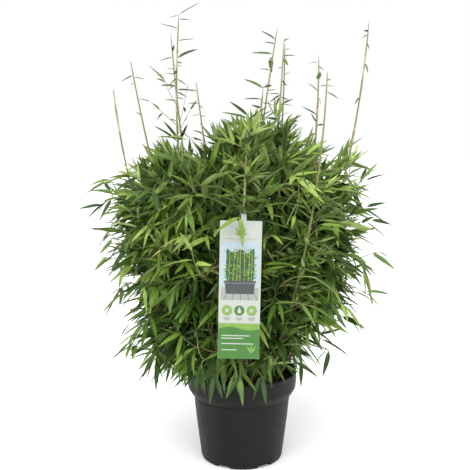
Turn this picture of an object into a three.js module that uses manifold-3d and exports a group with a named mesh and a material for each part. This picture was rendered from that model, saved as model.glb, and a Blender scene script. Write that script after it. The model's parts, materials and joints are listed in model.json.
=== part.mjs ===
// A clump-forming bamboo in a round nursery pot, 1.15 m tall from the ground to the top leaf.
// Millimetres, +Z up. The origin is the middle of the pot's flat underside and -Y is the front,
// where a long care label hangs from one cane.
//
// The canes stand on the soil and fan out. Short canes end inside the crown, each at the stem of
// a mass of foliage. Tall canes run up between the masses and carry a spray of their own above
// the crown. Each mass keeps to the space that is nearer to its own centre than to any other.

import * as THREE from "three";
import { mergeVertices } from "three/addons/utils/BufferGeometryUtils.js";
import Module from "manifold-3d";

const wasm = await Module();
wasm.setup();

const UP = new THREE.Vector3(0, 0, 1);
const GOLDEN_SHARE = (3 - Math.sqrt(5)) / 2;
const GOLDEN_ANGLE = 2 * Math.PI * GOLDEN_SHARE;
const CLEAR = 0.3; // gap between two pieces that touch on the real plant

// The pot, a 10 litre container
const POT_HEIGHT = 226;
const RIM_RADIUS = 140;
const WALL = 2.6;
const FLOOR = 3;
const FOOT_RADIUS = 99;
const POT_SEGMENTS = 32;
const SHOULDER_HEIGHT = 164; // where the collar meets the tapered body
const SHOULDER_RADIUS = 123;
const BELLY_HEIGHT = 105; // the body bends a little here
const BELLY_RADIUS = 117;
const DRAIN_COUNT = 6;
const DRAIN_WIDTH = 36;
const DRAIN_HEIGHT = 9;
const DRAIN_REACH = 22; // how far a drain slot runs in under the floor
const DRAIN_TURN = THREE.MathUtils.degToRad(-117);

const SOIL_TOP = 203;
const SOIL_SHOULDER = 6; // the soil drops this much where it meets the wall

// The canes
const CANE_SIDES = 5;
const CANE_STEPS = 6;
const TALL_ROOT_RADIUS = 4.2;
const TALL_TIP_RADIUS = 1.7;
const SHORT_ROOT_RADIUS = 3.4;
const SHORT_TIP_RADIUS = 2.2;
const FOOT_SHARE = 0.3; // a cane's foot stands at this share of its bend's distance from the middle
const BEND_HEIGHT = 0.45; // height of a cane's bend, as a share of the cane

// Leaves and twigs, larger than life because there are fewer of them
const LEAF_LENGTH = 128;
const LEAF_WIDTH = 0.24; // of its length
const LEAF_THICKNESS = 0.018;
const LEAF_WIDEST = 0.36;
const LEAF_SINK = 0.3;
const LEAF_ROLL = 2.2; // radians, from one extreme to the other
const STEM_RADIUS = 2.6;
const STEM_STEPS = 5;
const TWIG_RADIUS = 1.6;
const TWIG_TIP = 0.75; // of its root radius
const TWIG_SIDES = 3;
const SPACE_MARGIN = 1.2;
const GUARD = 1.2; // a leaf keeps this far from a cane

// How far the leaves reach from the pot's axis at each height: to the left, the right, the front
// and the back
const CROWN_HEIGHTS = [160, 200, 260, 340, 430, 520, 610, 690, 760, 820, 870, 905];
const CROWN_REACH = {
  left: [225, 285, 320, 338, 354, 370, 402, 406, 318, 226, 112, 12],
  right: [150, 172, 255, 298, 356, 376, 372, 350, 334, 306, 112, 12],
  front: [165, 190, 246, 280, 302, 312, 312, 296, 246, 178, 92, 12],
  back: [158, 205, 270, 312, 345, 362, 366, 352, 316, 250, 118, 12],
};

// Tiers of foliage masses. Reach is the centre's share of the crown's own reach.
const TIERS = [
  {
    name: "low",
    count: 7,
    height: 298,
    reach: 0.68,
    turn: -64,
    stem: "side",
    push: 16,
    lift: -12,
    droop: 0.45,
    wide: 84,
    tall: 66,
  },
  {
    name: "middle",
    count: 7,
    height: 500,
    reach: 0.66,
    turn: -64,
    stem: "tip",
    push: 30,
    lift: 0,
    droop: 0.15,
    wide: 84,
    tall: 72,
  },
  {
    name: "upper",
    count: 5,
    height: 688,
    reach: 0.58,
    turn: -54,
    stem: "tip",
    push: 26,
    lift: 34,
    droop: -0.15,
    wide: 104,
    tall: 92,
  },
  {
    name: "crest",
    count: 1,
    height: 806,
    reach: 0.05,
    turn: 90,
    stem: "tip",
    push: 0,
    lift: 16,
    droop: -0.3,
    wide: 104,
    tall: 56,
  },
];
const TWIGS_PER_MASS = 6;
const TWIG_TRIES = 14;
const TWIG_SHORTEST = 24;
const STEM_JOINTS = 12;
const LEAVES_PER_TWIG = 5;
const FEWEST_LEAVES = 2; // a twig that finds room for fewer is left out, in the last rounds
const LEAF_TRIES = 8;

// Tall canes: where each bends at BEND_HEIGHT, and its tip. Spray is the share of the cane at
// which its leafy top begins, leaves is their number and size their length.
const TALL_CANES = [
  { name: "far_left", bend: [-271, -20], tip: [-314, -20, 928], spray: 1, leaves: 0, size: 0 },
  { name: "left", bend: [-206, 62], tip: [-282, 60, 1007], spray: 0.86, leaves: 3, size: 52 },
  { name: "tallest", bend: [-190, 0], tip: [-154, 0, 1116], spray: 0.72, leaves: 10, size: 64 },
  { name: "tallest_twin", bend: [-142, 47], tip: [-179, 50, 1077], spray: 0.9, leaves: 3, size: 50 },
  { name: "left_back", bend: [-62, 95], tip: [-119, 100, 962], spray: 0.88, leaves: 3, size: 44 },
  { name: "centre_front", bend: [4, -132], tip: [48, -120, 931], spray: 0.88, leaves: 5, size: 60 },
  { name: "centre_back", bend: [10, 86], tip: [91, 80, 1097], spray: 0.84, leaves: 6, size: 56 },
  { name: "centre", bend: [78, -10], tip: [103, 0, 1056], spray: 0.84, leaves: 7, size: 58 },
  { name: "centre_twin", bend: [102, 46], tip: [108, 42, 1052], spray: 1, leaves: 0, size: 0 },
  { name: "right_front", bend: [180, -104], tip: [177, -100, 1004], spray: 0.8, leaves: 6, size: 44 },
  { name: "right_low", bend: [164, -262], tip: [190, -160, 959], spray: 0.88, leaves: 4, size: 50 },
  { name: "far_right", bend: [283, 50], tip: [319, 50, 1108], spray: 0.8, leaves: 5, size: 40 },
  { name: "label_cane", bend: [-9, -310], tip: [12, -200, 868], spray: 0.87, leaves: 6, size: 62 },
];
const SPRAY_LEAF_WIDTH = 0.17; // of its length
const TOP_LEAF_TIP = new THREE.Vector3(-103, 0, 1144); // the plant's highest point

// The label
const LABEL_WIDTH = 91;
const LABEL_HEIGHT = 305;
const LABEL_THICKNESS = 1.2;
const LABEL_TOP = 633;
const LABEL_FRONT = -262;
const LABEL_X = -4;
const LABEL_TILT = THREE.MathUtils.degToRad(1.2);
const LABEL_CORNER = 3;
const COLLAR_HEIGHT = 8;
const COLLAR_WALL = 1.6;
const TONGUE_WIDTH = 12;
const LABEL_WINDOW = 14; // leaves keep this far from the label's edges in front of it

const MATERIALS = {
  pot: new THREE.MeshStandardMaterial({ color: 0x3a3b3c, roughness: 0.55, metalness: 0 }),
  soil: new THREE.MeshStandardMaterial({ color: 0x261d17, roughness: 1, metalness: 0 }),
  cane: new THREE.MeshStandardMaterial({ color: 0x84914a, roughness: 0.6, metalness: 0 }),
  foliage: new THREE.MeshStandardMaterial({ color: 0x3d6b22, roughness: 0.6, metalness: 0 }),
  label: new THREE.MeshStandardMaterial({ color: 0xe6ebe2, roughness: 0.4, metalness: 0 }),
};

// Seeded random numbers from 0 to 1
function seeded(seed) {
  let state = seed >>> 0;
  return () => {
    state = (state + 0x6d2b79f5) >>> 0;
    let t = state;
    t = Math.imul(t ^ (t >>> 15), t | 1);
    t ^= t + Math.imul(t ^ (t >>> 7), t | 61);
    return ((t ^ (t >>> 14)) >>> 0) / 4294967296;
  };
}

function solidOf(geometry) {
  const bare = geometry.clone();
  bare.deleteAttribute("normal");
  bare.deleteAttribute("uv");
  const merged = mergeVertices(bare, 1e-3);
  return new wasm.Manifold(
    new wasm.Mesh({
      numProp: 3,
      vertProperties: merged.attributes.position.array,
      triVerts: new Uint32Array(merged.index.array),
    }),
  );
}

function geometryOf(solid) {
  const mesh = solid.getMesh();
  const geometry = new THREE.BufferGeometry();
  geometry.setAttribute("position", new THREE.BufferAttribute(mesh.vertProperties, 3));
  geometry.setIndex(new THREE.BufferAttribute(mesh.triVerts, 1));
  return geometry;
}

function meshOf(name, solid, material) {
  const mesh = new THREE.Mesh(geometryOf(solid), material);
  mesh.name = name;
  return mesh;
}

function polar(radius, azimuth, z) {
  return new THREE.Vector3(radius * Math.cos(azimuth), radius * Math.sin(azimuth), z);
}

// Value at x on the broken line through xs and ys
function interpolate(xs, ys, x) {
  if (x <= xs[0]) return ys[0];
  for (let i = 1; i < xs.length; i++)
    if (x <= xs[i])
      return THREE.MathUtils.mapLinear(x, xs[i - 1], xs[i], ys[i - 1], ys[i]);
  return ys[ys.length - 1];
}

function crownReach(z, azimuth) {
  const across = Math.cos(azimuth);
  const along = Math.sin(azimuth);
  const side = CROWN_REACH[across > 0 ? "right" : "left"];
  const face = CROWN_REACH[along > 0 ? "back" : "front"];
  return (
    interpolate(CROWN_HEIGHTS, side, z) * across ** 2 +
    interpolate(CROWN_HEIGHTS, face, z) * along ** 2
  );
}

function insideCrown(p) {
  const top = CROWN_HEIGHTS[CROWN_HEIGHTS.length - 1];
  if (p.z < CROWN_HEIGHTS[0] || p.z > top) return false;
  return Math.hypot(p.x, p.y) < crownReach(p.z, Math.atan2(p.y, p.x));
}

// The pot and its soil

function potOutside() {
  return [
    [FOOT_RADIUS, 0],
    [FOOT_RADIUS + 3.4, 1.6],
    [FOOT_RADIUS + 5.4, 7],
    [BELLY_RADIUS, BELLY_HEIGHT],
    [SHOULDER_RADIUS - 0.4, SHOULDER_HEIGHT - 3],
    [SHOULDER_RADIUS - 1.4, SHOULDER_HEIGHT - 1.5],
    [SHOULDER_RADIUS + 2, SHOULDER_HEIGHT + 1],
    [RIM_RADIUS - 9, SHOULDER_HEIGHT + 9],
    [RIM_RADIUS - 2.5, SHOULDER_HEIGHT + 20],
    [RIM_RADIUS - 0.8, SHOULDER_HEIGHT + 32],
    [RIM_RADIUS, POT_HEIGHT - 4],
    [RIM_RADIUS - 0.8, POT_HEIGHT],
  ];
}

function potInside() {
  return [
    [RIM_RADIUS - WALL - 0.6, POT_HEIGHT],
    [RIM_RADIUS - WALL - 1.4, SHOULDER_HEIGHT + 32],
    [RIM_RADIUS - WALL - 3.4, SHOULDER_HEIGHT + 20],
    [RIM_RADIUS - WALL - 10, SHOULDER_HEIGHT + 10],
    [SHOULDER_RADIUS - WALL, SHOULDER_HEIGHT + 3],
    [SHOULDER_RADIUS - WALL - 1.6, SHOULDER_HEIGHT - 4],
    [BELLY_RADIUS - WALL, BELLY_HEIGHT],
    [FOOT_RADIUS + 2.4, FLOOR + 4],
    [FOOT_RADIUS - 1, FLOOR],
  ];
}

function lathe(outline) {
  const profile = outline.map(([radius, z]) => new THREE.Vector2(radius, z));
  const turned = new THREE.LatheGeometry(profile, POT_SEGMENTS);
  return solidOf(turned.rotateX(Math.PI / 2));
}

function makePot() {
  let pot = lathe([[0, 0], ...potOutside(), ...potInside(), [0, FLOOR]]);
  const depth = DRAIN_REACH + 10;
  for (let i = 0; i < DRAIN_COUNT; i++) {
    const slot = new THREE.BoxGeometry(depth, DRAIN_WIDTH, 2 * DRAIN_HEIGHT);
    slot.translate(FOOT_RADIUS - DRAIN_REACH + depth / 2, 0, 0);
    slot.rotateZ(DRAIN_TURN + (i * 2 * Math.PI) / DRAIN_COUNT);
    pot = pot.subtract(solidOf(slot));
  }
  return pot;
}

// The soil fills the pot to a little below the collar's top, and slopes down to the wall
function makeSoil() {
  const wall = potInside().reverse();
  const heights = wall.map(([, z]) => z);
  const radii = wall.map(([radius]) => radius - 1.5 * CLEAR);
  const edge = SOIL_TOP - SOIL_SHOULDER;
  const levels = [FLOOR + 5, BELLY_HEIGHT, SHOULDER_HEIGHT - 4, SHOULDER_HEIGHT + 3, edge];
  return lathe([
    [0, FLOOR + CLEAR],
    [FOOT_RADIUS - 2, FLOOR + CLEAR],
    ...levels.map((z) => [interpolate(heights, radii, z), z]),
    [RIM_RADIUS - 24, SOIL_TOP],
    [0, SOIL_TOP],
  ]);
}

// Limbs

// The stretch of a curve between two shares of it
class Stretch extends THREE.Curve {
  constructor(whole, from, to) {
    super();
    this.whole = whole;
    this.from = from;
    this.to = to;
  }

  getPoint(t) {
    return this.whole.getPoint(THREE.MathUtils.lerp(this.from, this.to, t));
  }
}

// A tapering limb along a path: a cylinder whose rings are moved onto the path. A level foot
// lets a cane stand flat on the soil.
function limb(path, rootRadius, tipRadius, sides, steps, levelFoot = false) {
  const frames = path.computeFrenetFrames(steps, false);
  const geometry = new THREE.CylinderGeometry(1, 1, 1, sides, steps);
  const position = geometry.attributes.position;
  for (let i = 0; i < position.count; i++) {
    const share = position.getY(i) + 0.5;
    const ring = Math.round(share * steps);
    const radius = THREE.MathUtils.lerp(rootRadius, tipRadius, share);
    const p = path
      .getPointAt(ring / steps)
      .addScaledVector(frames.normals[ring], position.getX(i) * radius)
      .addScaledVector(frames.binormals[ring], -position.getZ(i) * radius);
    if (levelFoot && ring === 0) p.z = path.getPoint(0).z;
    position.setXYZ(i, p.x, p.y, p.z);
  }
  return solidOf(geometry);
}

function straight(from, to) {
  return new THREE.LineCurve3(from, to);
}

// The path of a cane from its foot on the soil, through the pull of one bend, to its tip
function canePath(bend, tip, footShare = FOOT_SHARE) {
  const foot = new THREE.Vector3(bend[0] * footShare, bend[1] * footShare, SOIL_TOP + CLEAR);
  const bendZ = THREE.MathUtils.lerp(foot.z, tip.z, BEND_HEIGHT);
  return new THREE.QuadraticBezierCurve3(
    foot,
    new THREE.Vector3(bend[0], bend[1], bendZ),
    tip,
  );
}

// A cane's rings stand at equal steps along its path, and its sides run straight between them
function withRings(cane) {
  const points = new Stretch(cane.path, 0, cane.end).getSpacedPoints(CANE_STEPS);
  const rings = points.map((point, i) => ({
    point,
    radius: THREE.MathUtils.lerp(cane.rootRadius, cane.tipRadius, i / CANE_STEPS),
  }));
  return { ...cane, rings };
}

// The place on a cane at a share of its length
function onCane(cane, share) {
  const at = share * CANE_STEPS;
  const i = Math.min(Math.floor(at), CANE_STEPS - 1);
  const a = cane.rings[i];
  const b = cane.rings[i + 1];
  return {
    point: a.point.clone().lerp(b.point, at - i),
    tangent: b.point.clone().sub(a.point).normalize(),
    radius: THREE.MathUtils.lerp(a.radius, b.radius, at - i),
  };
}

function caneSolid(cane) {
  const path = new Stretch(cane.path, 0, cane.end);
  return limb(path, cane.rootRadius, cane.tipRadius, CANE_SIDES, CANE_STEPS, true);
}

// Least distance between the segments ab and cd
function segmentGap(a, b, c, d) {
  const u = b.clone().sub(a);
  const v = d.clone().sub(c);
  const w = a.clone().sub(c);
  const uu = u.dot(u);
  const uv = u.dot(v);
  const vv = v.dot(v);
  const uw = u.dot(w);
  const vw = v.dot(w);
  const limit = (x) => THREE.MathUtils.clamp(x, 0, 1);
  const cross = uu * vv - uv * uv;
  let s = cross > 1e-9 ? limit((uv * vw - vv * uw) / cross) : 0;
  const t = limit((uv * s + vw) / vv);
  s = limit((uv * t - uw) / uu);
  return w.addScaledVector(u, s).addScaledVector(v, -t).length();
}

// A cane and the stem of its leafy top as straight pieces, for the tests of what touches what
function piecesOf(cane) {
  const pieces = [];
  for (let i = 0; i < CANE_STEPS; i++) {
    const { point, radius } = cane.rings[i];
    pieces.push({ from: point, to: cane.rings[i + 1].point, radius });
  }
  if (cane.end < 1) {
    const points = new Stretch(cane.path, cane.end, 1).getSpacedPoints(STEM_STEPS);
    for (let i = 0; i < STEM_STEPS; i++)
      pieces.push({ from: points[i], to: points[i + 1], radius: cane.tipRadius });
  }
  return pieces;
}

function touches(from, to, radius, others) {
  return others.some(
    (o) => segmentGap(from, to, o.from, o.to) < radius + o.radius + SPACE_MARGIN,
  );
}

function crosses(pieces, others) {
  return pieces.some((p) => touches(p.from, p.to, p.radius, others));
}

// Leaves

// Across and face directions of a leaf's blade. Unrolled, the blade looks up and outward.
function bladeAxes(along, roll) {
  const outward = polar(0.8, Math.atan2(along.y, along.x), 0).add(UP);
  const across = along.clone().cross(outward).normalize().applyAxisAngle(along, roll);
  return { across, face: across.clone().cross(along) };
}

// A leaf is a pointed blade of six faces, flat below and ridged above
function leaf(base, along, roll, length, width) {
  const profile = [
    [0, 0],
    [1, LEAF_WIDEST],
    [0, 1],
  ].map(([x, y]) => new THREE.Vector2(x, y));
  const geometry = new THREE.LatheGeometry(profile, 3);
  const position = geometry.attributes.position;
  const { across, face } = bladeAxes(along, roll);
  for (let i = 0; i < position.count; i++) {
    const p = base
      .clone()
      .addScaledVector(along, position.getY(i) * length - LEAF_SINK)
      .addScaledVector(across, (position.getX(i) * width) / Math.sqrt(3))
      .addScaledVector(face, (position.getZ(i) * LEAF_THICKNESS * length) / 1.5);
    position.setXYZ(i, p.x, p.y, p.z);
  }
  return solidOf(geometry);
}

// The points that bound a leaf, for the tests of its space
function leafCorners(base, along, roll, length, width) {
  const { across } = bladeAxes(along, roll);
  const waist = base.clone().addScaledVector(along, LEAF_WIDEST * length);
  return {
    base,
    left: waist.clone().addScaledVector(across, -width / 2),
    right: waist.clone().addScaledVector(across, width / 2),
    tip: base.clone().addScaledVector(along, length),
  };
}

// Free space

function nearPot(p) {
  return p.z < POT_HEIGHT + 4 && Math.hypot(p.x, p.y) < RIM_RADIUS + 4;
}

function nearLabel(p) {
  return (
    Math.abs(p.x - LABEL_X) < LABEL_WIDTH / 2 + LABEL_WINDOW &&
    p.y < LABEL_FRONT + 14 &&
    p.z < LABEL_TOP + 30 &&
    p.z > LABEL_TOP - LABEL_HEIGHT - LABEL_WINDOW
  );
}

function isTaken(p) {
  return nearPot(p) || nearLabel(p);
}

function alongSegment(from, to, count, test) {
  for (let i = 0; i <= count; i++) if (test(from.clone().lerp(to, i / count))) return true;
  return false;
}

// True if the point is nearer to its own mass's centre than to any other, by the margin
function inOwnSpace(p, mass, masses) {
  return masses.every((other) => {
    if (other === mass) return true;
    const own = p.distanceToSquared(mass.centre);
    const theirs = p.distanceToSquared(other.centre);
    const apart = 2 * mass.centre.distanceTo(other.centre);
    return (theirs - own) / apart > SPACE_MARGIN;
  });
}

// The plan: canes, masses and sprays as paths and centres

function planTallCanes() {
  return TALL_CANES.map((row) => {
    const cane = withRings({
      ...row,
      path: canePath(row.bend, new THREE.Vector3(...row.tip)),
      end: row.spray,
      rootRadius: TALL_ROOT_RADIUS,
      tipRadius: TALL_TIP_RADIUS,
    });
    return { ...cane, pieces: piecesOf(cane) };
  });
}

function planMasses() {
  const masses = [];
  TIERS.forEach((tier, t) => {
    const random = seeded(101 + t);
    for (let i = 0; i < tier.count; i++) {
      const turn = tier.turn + (360 * i) / tier.count + 8 * (random() - 0.5);
      const azimuth = THREE.MathUtils.degToRad(turn);
      const height = tier.height + 36 * (random() - 0.5);
      const radius = tier.reach * crownReach(height, azimuth);
      masses.push({
        name: `foliage_${tier.name}_${i + 1}`,
        tier,
        index: i,
        azimuth,
        centre: polar(radius, azimuth, height),
        seed: 1000 * (t + 1) + i,
      });
    }
  });
  return masses;
}

// A short cane runs from the soil to the inner edge of its mass. Its foot is turned a little
// further round until it is clear of the canes before it.
function planShortCane(mass, others) {
  const inner = mass.centre.clone().multiply(new THREE.Vector3(0.72, 0.72, 1));
  const tip = inner.setZ(mass.centre.z - 78);
  const radius = Math.hypot(tip.x, tip.y);
  for (let attempt = 0; attempt < 400; attempt++) {
    const swing = 0.05 * Math.ceil(attempt / 2) * (attempt % 2 ? 1 : -1);
    const footRadius = 34 + ((attempt * 17 + mass.index * 29) % 70);
    const azimuth = mass.azimuth + swing;
    const pull = Math.max(footRadius, 0.82 * radius);
    const bend = polar(pull, azimuth, 0);
    const cane = withRings({
      name: `${mass.tier.name}_${mass.index + 1}`,
      path: canePath([bend.x, bend.y], tip, footRadius / pull),
      end: 1,
      rootRadius: SHORT_ROOT_RADIUS,
      tipRadius: SHORT_TIP_RADIUS,
    });
    const pieces = piecesOf(cane);
    if (!crosses(pieces, others)) return { ...cane, pieces };
  }
  throw new Error(`no free way for the cane of ${mass.name}`);
}

// Where a mass's stem begins: just past its cane's tip, or just off a cane's side
function stemStart(mass, canes) {
  if (mass.tier.stem === "tip") {
    const { point, tangent } = onCane(mass.cane, 1);
    return { point: point.addScaledVector(tangent, CLEAR), tangent };
  }
  const target = mass.centre.clone().setZ(mass.centre.z - 20);
  let best = null;
  for (const cane of canes)
    for (let share = 0.1; share <= 0.7; share += 0.02) {
      const place = onCane(cane, share);
      const cost = place.point.distanceTo(target);
      if (place.point.z > POT_HEIGHT + 22 && (!best || cost < best.cost))
        best = { ...place, cost };
    }
  const outward = target.clone().sub(best.point);
  outward.addScaledVector(best.tangent, -outward.dot(best.tangent)).normalize();
  return {
    point: best.point.addScaledVector(outward, best.radius + CLEAR),
    tangent: outward,
  };
}

// Growth

// True if the solid crosses none of the others, apart from the one it grows from
function crossesNone(solid, others, parent) {
  return others.every((other) => other === parent || solid.intersect(other).volume() < 1e-6);
}

// Only the canes near the leaf's midrib are tried against its blade
function meetsCane(blade, from, to, half, canes) {
  const near = canes.filter((cane) => touches(from, to, half, cane.pieces));
  return !crossesNone(blade, near.map((cane) => cane.guard));
}

function tryLeaf(mass, base, direction, length, random, parent) {
  const roll = LEAF_ROLL * (random() - 0.5);
  const width = mass.leafWidth * length;
  const { left, right, tip } = leafCorners(base, direction, roll, length, width);
  const start = base.clone().addScaledVector(direction, 4);
  if (![base, left, right, tip].every((p) => mass.holds(p))) return null;
  const lines = [
    [start, tip],
    [start, left],
    [left, tip],
    [start, right],
    [right, tip],
  ];
  if (lines.some(([from, to]) => alongSegment(from, to, 8, isTaken))) return null;
  if (mass.canes.some((cane) => touches(start, tip, 0, cane.pieces))) return null;
  const blade = leaf(base, direction, roll, length, width);
  if (meetsCane(blade, start, tip, width / 2, mass.canes)) return null;
  return crossesNone(blade, mass.solids, parent) ? blade : null;
}

function tryTwig(mass, from, direction, length) {
  const to = from.clone().addScaledVector(direction, length);
  const start = from.clone().addScaledVector(direction, 3);
  if (!mass.holds(to)) return null;
  if (alongSegment(start, to, 6, isTaken)) return null;
  if (mass.canes.some((cane) => touches(start, to, TWIG_RADIUS, cane.pieces))) return null;
  const solid = limb(straight(from, to), TWIG_RADIUS, TWIG_RADIUS * TWIG_TIP, TWIG_SIDES, 1);
  if (!crossesNone(solid, mass.solids, mass.solids[0])) return null;
  return { solid, from, to, direction, length };
}

// A fan of leaves at the end of a twig: one at its tip, the others in pairs behind it. They
// spread away from the middle of the mass. Each has a few tries at finding room.
function growFan(mass, twig, random) {
  let count = 0;
  const away = twig.to.clone().sub(mass.centre).normalize();
  for (let k = 0; k < 2 * LEAVES_PER_TWIG && count < LEAVES_PER_TWIG; k++) {
    const side = k % 2 ? 1 : -1;
    const spread = k === 0 ? 0.1 : 0.45 + 0.2 * Math.floor((k - 1) / 2);
    const back = 3 + (0.7 * twig.length * k) / (2 * LEAVES_PER_TWIG);
    const base = twig.to.clone().addScaledVector(twig.direction, -back);
    for (let attempt = 0; attempt < LEAF_TRIES; attempt++) {
      const direction = twig.direction
        .clone()
        .addScaledVector(away, 0.6)
        .addScaledVector(mass.outward, 0.5 * random())
        .applyAxisAngle(UP, side * spread * (0.7 + 0.6 * random()));
      direction.z += 0.8 * (random() - 0.5) + 0.6 * away.z - mass.tier.droop;
      direction.normalize();
      const length = LEAF_LENGTH * (0.8 + 0.34 * random());
      const made = tryLeaf(mass, base, direction, length, random, twig.solid);
      if (!made) continue;
      mass.solids.push(made);
      count += 1;
      break;
    }
  }
  return count;
}

// True if the surface stays closed when its points are rounded to a ten thousandth of a
// millimetre. Two faces that cross almost edge to edge can fail this.
function closesWhenRounded(solid) {
  const { vertProperties, triVerts } = solid.getMesh();
  const keys = [];
  for (let i = 0; i < vertProperties.length; i += 3)
    keys.push([0, 1, 2].map((k) => Math.round(vertProperties[i + k] * 1e4)).join());
  const edges = new Map();
  for (let i = 0; i < triVerts.length; i += 3) {
    const corners = [0, 1, 2].map((k) => keys[triVerts[i + k]]);
    if (new Set(corners).size < 3) continue;
    for (let k = 0; k < 3; k++) {
      const edge = [corners[k], corners[(k + 1) % 3]].sort().join();
      edges.set(edge, (edges.get(edge) ?? 0) + 1);
    }
  }
  return [...edges.values()].every((count) => count === 2);
}

// The union of the solids, without any loose scrap
function joined(solids) {
  const whole = solids.reduce((a, b) => a.add(b));
  const bodies = whole.decompose().sort((a, b) => b.volume() - a.volume());
  return bodies[0];
}

// The place in a mass that a twig runs to. The places are spread by the golden angle.
function twigGoal(mass, number, shrink, random) {
  const level = 1 - (2 * (number + 0.5)) / TWIGS_PER_MASS;
  const ring = Math.sqrt(1 - level ** 2);
  const azimuth = number * GOLDEN_ANGLE + mass.azimuth + 0.5 * (random() - 0.5);
  const goal = polar(ring * mass.tier.wide, azimuth, level * mass.tier.tall);
  return goal.multiplyScalar(shrink).addScaledVector(mass.outward, 14).add(mass.centre);
}

// A twig to the goal from the nearest free joint of the stem that leaves it a clear way
function growTwig(mass, goal, joints) {
  const nearest = joints
    .filter((joint) => !joint.used)
    .sort((a, b) => a.point.distanceTo(goal) - b.point.distanceTo(goal))
    .slice(0, 4);
  for (const joint of nearest) {
    const way = goal.clone().sub(joint.point);
    const length = way.length();
    if (length < TWIG_SHORTEST) continue;
    const twig = tryTwig(mass, joint.point, way.normalize(), length);
    if (twig) return { ...twig, joint };
  }
  return null;
}

function growMass(mass, plan) {
  const random = seeded(mass.seed);
  const { point, tangent } = stemStart(mass, plan.middleCanes);
  mass.outward = polar(1, mass.azimuth, 0);
  mass.canes = plan.canes;
  mass.leafWidth = LEAF_WIDTH;
  mass.holds = (p) => insideCrown(p) && inOwnSpace(p, mass, plan.masses);
  const far = mass.centre.clone().addScaledVector(mass.outward, mass.tier.push);
  far.z += mass.tier.lift;
  const stemPath = new THREE.QuadraticBezierCurve3(
    point,
    point.clone().addScaledVector(tangent, 0.45 * point.distanceTo(far)),
    far,
  );
  mass.solids = [limb(stemPath, STEM_RADIUS, STEM_RADIUS * 0.7, TWIG_SIDES, STEM_STEPS)];
  const joints = [];
  for (let j = 0; j < STEM_JOINTS; j++)
    joints.push({ point: stemPath.getPoint(0.14 + (0.84 * j) / (STEM_JOINTS - 1)) });
  let twigs = 0;
  for (let i = 0; i < TWIGS_PER_MASS * TWIG_TRIES && twigs < TWIGS_PER_MASS; i++) {
    const number = i % TWIGS_PER_MASS;
    const round = Math.floor(i / TWIGS_PER_MASS);
    const shrink = 1 - (0.55 * round) / TWIG_TRIES;
    const fewest = round < TWIG_TRIES / 2 ? LEAVES_PER_TWIG - 1 : FEWEST_LEAVES;
    const twig = growTwig(mass, twigGoal(mass, number, shrink, random), joints);
    if (!twig) continue;
    const before = mass.solids.length;
    mass.solids.push(twig.solid);
    const count = growFan(mass, twig, random);
    if (count < fewest || !closesWhenRounded(joined(mass.solids))) {
      mass.solids.length = before;
      continue;
    }
    twig.joint.used = true;
    twigs += 1;
  }
  return joined(mass.solids);
}

// The leafy top of a tall cane. Its leaves stand out alternately, outside the crown's space.
function growSpray(cane, plan, number) {
  const random = seeded(9000 + number);
  const start = cane.end + CLEAR / cane.path.getLength();
  const stemPath = new Stretch(cane.path, start, 1);
  const spray = {
    holds: (p) => !insideCrown(p),
    canes: plan.canes.filter((c) => c !== cane),
    leafWidth: SPRAY_LEAF_WIDTH,
    solids: [limb(stemPath, TALL_TIP_RADIUS, 1, TWIG_SIDES, STEM_STEPS)],
  };
  if (cane.name === "tallest") {
    const tip = cane.path.getPoint(1);
    const reach = TOP_LEAF_TIP.clone().sub(tip);
    const direction = reach.clone().normalize();
    const length = reach.length() + LEAF_SINK;
    spray.solids.push(leaf(tip, direction, 0, length, SPRAY_LEAF_WIDTH * length));
  }
  let count = 0;
  for (let i = 0; i < 60 && count < cane.leaves; i++) {
    const share = 0.06 + 0.91 * ((0.95 + i * GOLDEN_SHARE) % 1);
    const base = stemPath.getPoint(share);
    const azimuth = i * Math.PI + 1.1 * (random() - 0.5);
    const direction = polar(1, azimuth, 0.1 + 0.75 * (random() - 0.4)).normalize();
    const length = cane.size * (0.8 + 0.45 * random());
    const tip = base.clone().addScaledVector(direction, length);
    const half = (SPRAY_LEAF_WIDTH * length) / 2;
    if (touches(base, tip, half, plan.sprayLeaves[number])) continue;
    const made = tryLeaf(spray, base, direction, length, random, spray.solids[0]);
    if (!made) continue;
    spray.solids.push(made);
    if (!closesWhenRounded(joined(spray.solids))) {
      spray.solids.pop();
      continue;
    }
    plan.sprayLeaves.forEach((list, other) => {
      if (other !== number) list.push({ from: base, to: tip, radius: half });
    });
    count += 1;
  }
  return joined(spray.solids);
}

// The label: a plate, and a tongue that bends back from its top to a collar on the cane

function roundedPlate(width, height, thickness, corner) {
  const shape = new THREE.Shape();
  const x = width / 2;
  shape.moveTo(-x + corner, 0);
  shape.lineTo(x - corner, 0);
  shape.absarc(x - corner, corner, corner, -Math.PI / 2, 0);
  shape.lineTo(x, height - corner);
  shape.absarc(x - corner, height - corner, corner, 0, Math.PI / 2);
  shape.lineTo(-x + corner, height);
  shape.absarc(-x + corner, height - corner, corner, Math.PI / 2, Math.PI);
  shape.lineTo(-x, corner);
  shape.absarc(-x + corner, corner, corner, Math.PI, 1.5 * Math.PI);
  const plate = new THREE.ExtrudeGeometry(shape, {
    depth: thickness,
    bevelEnabled: false,
    curveSegments: 3,
  });
  return plate.rotateX(Math.PI / 2);
}

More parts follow.
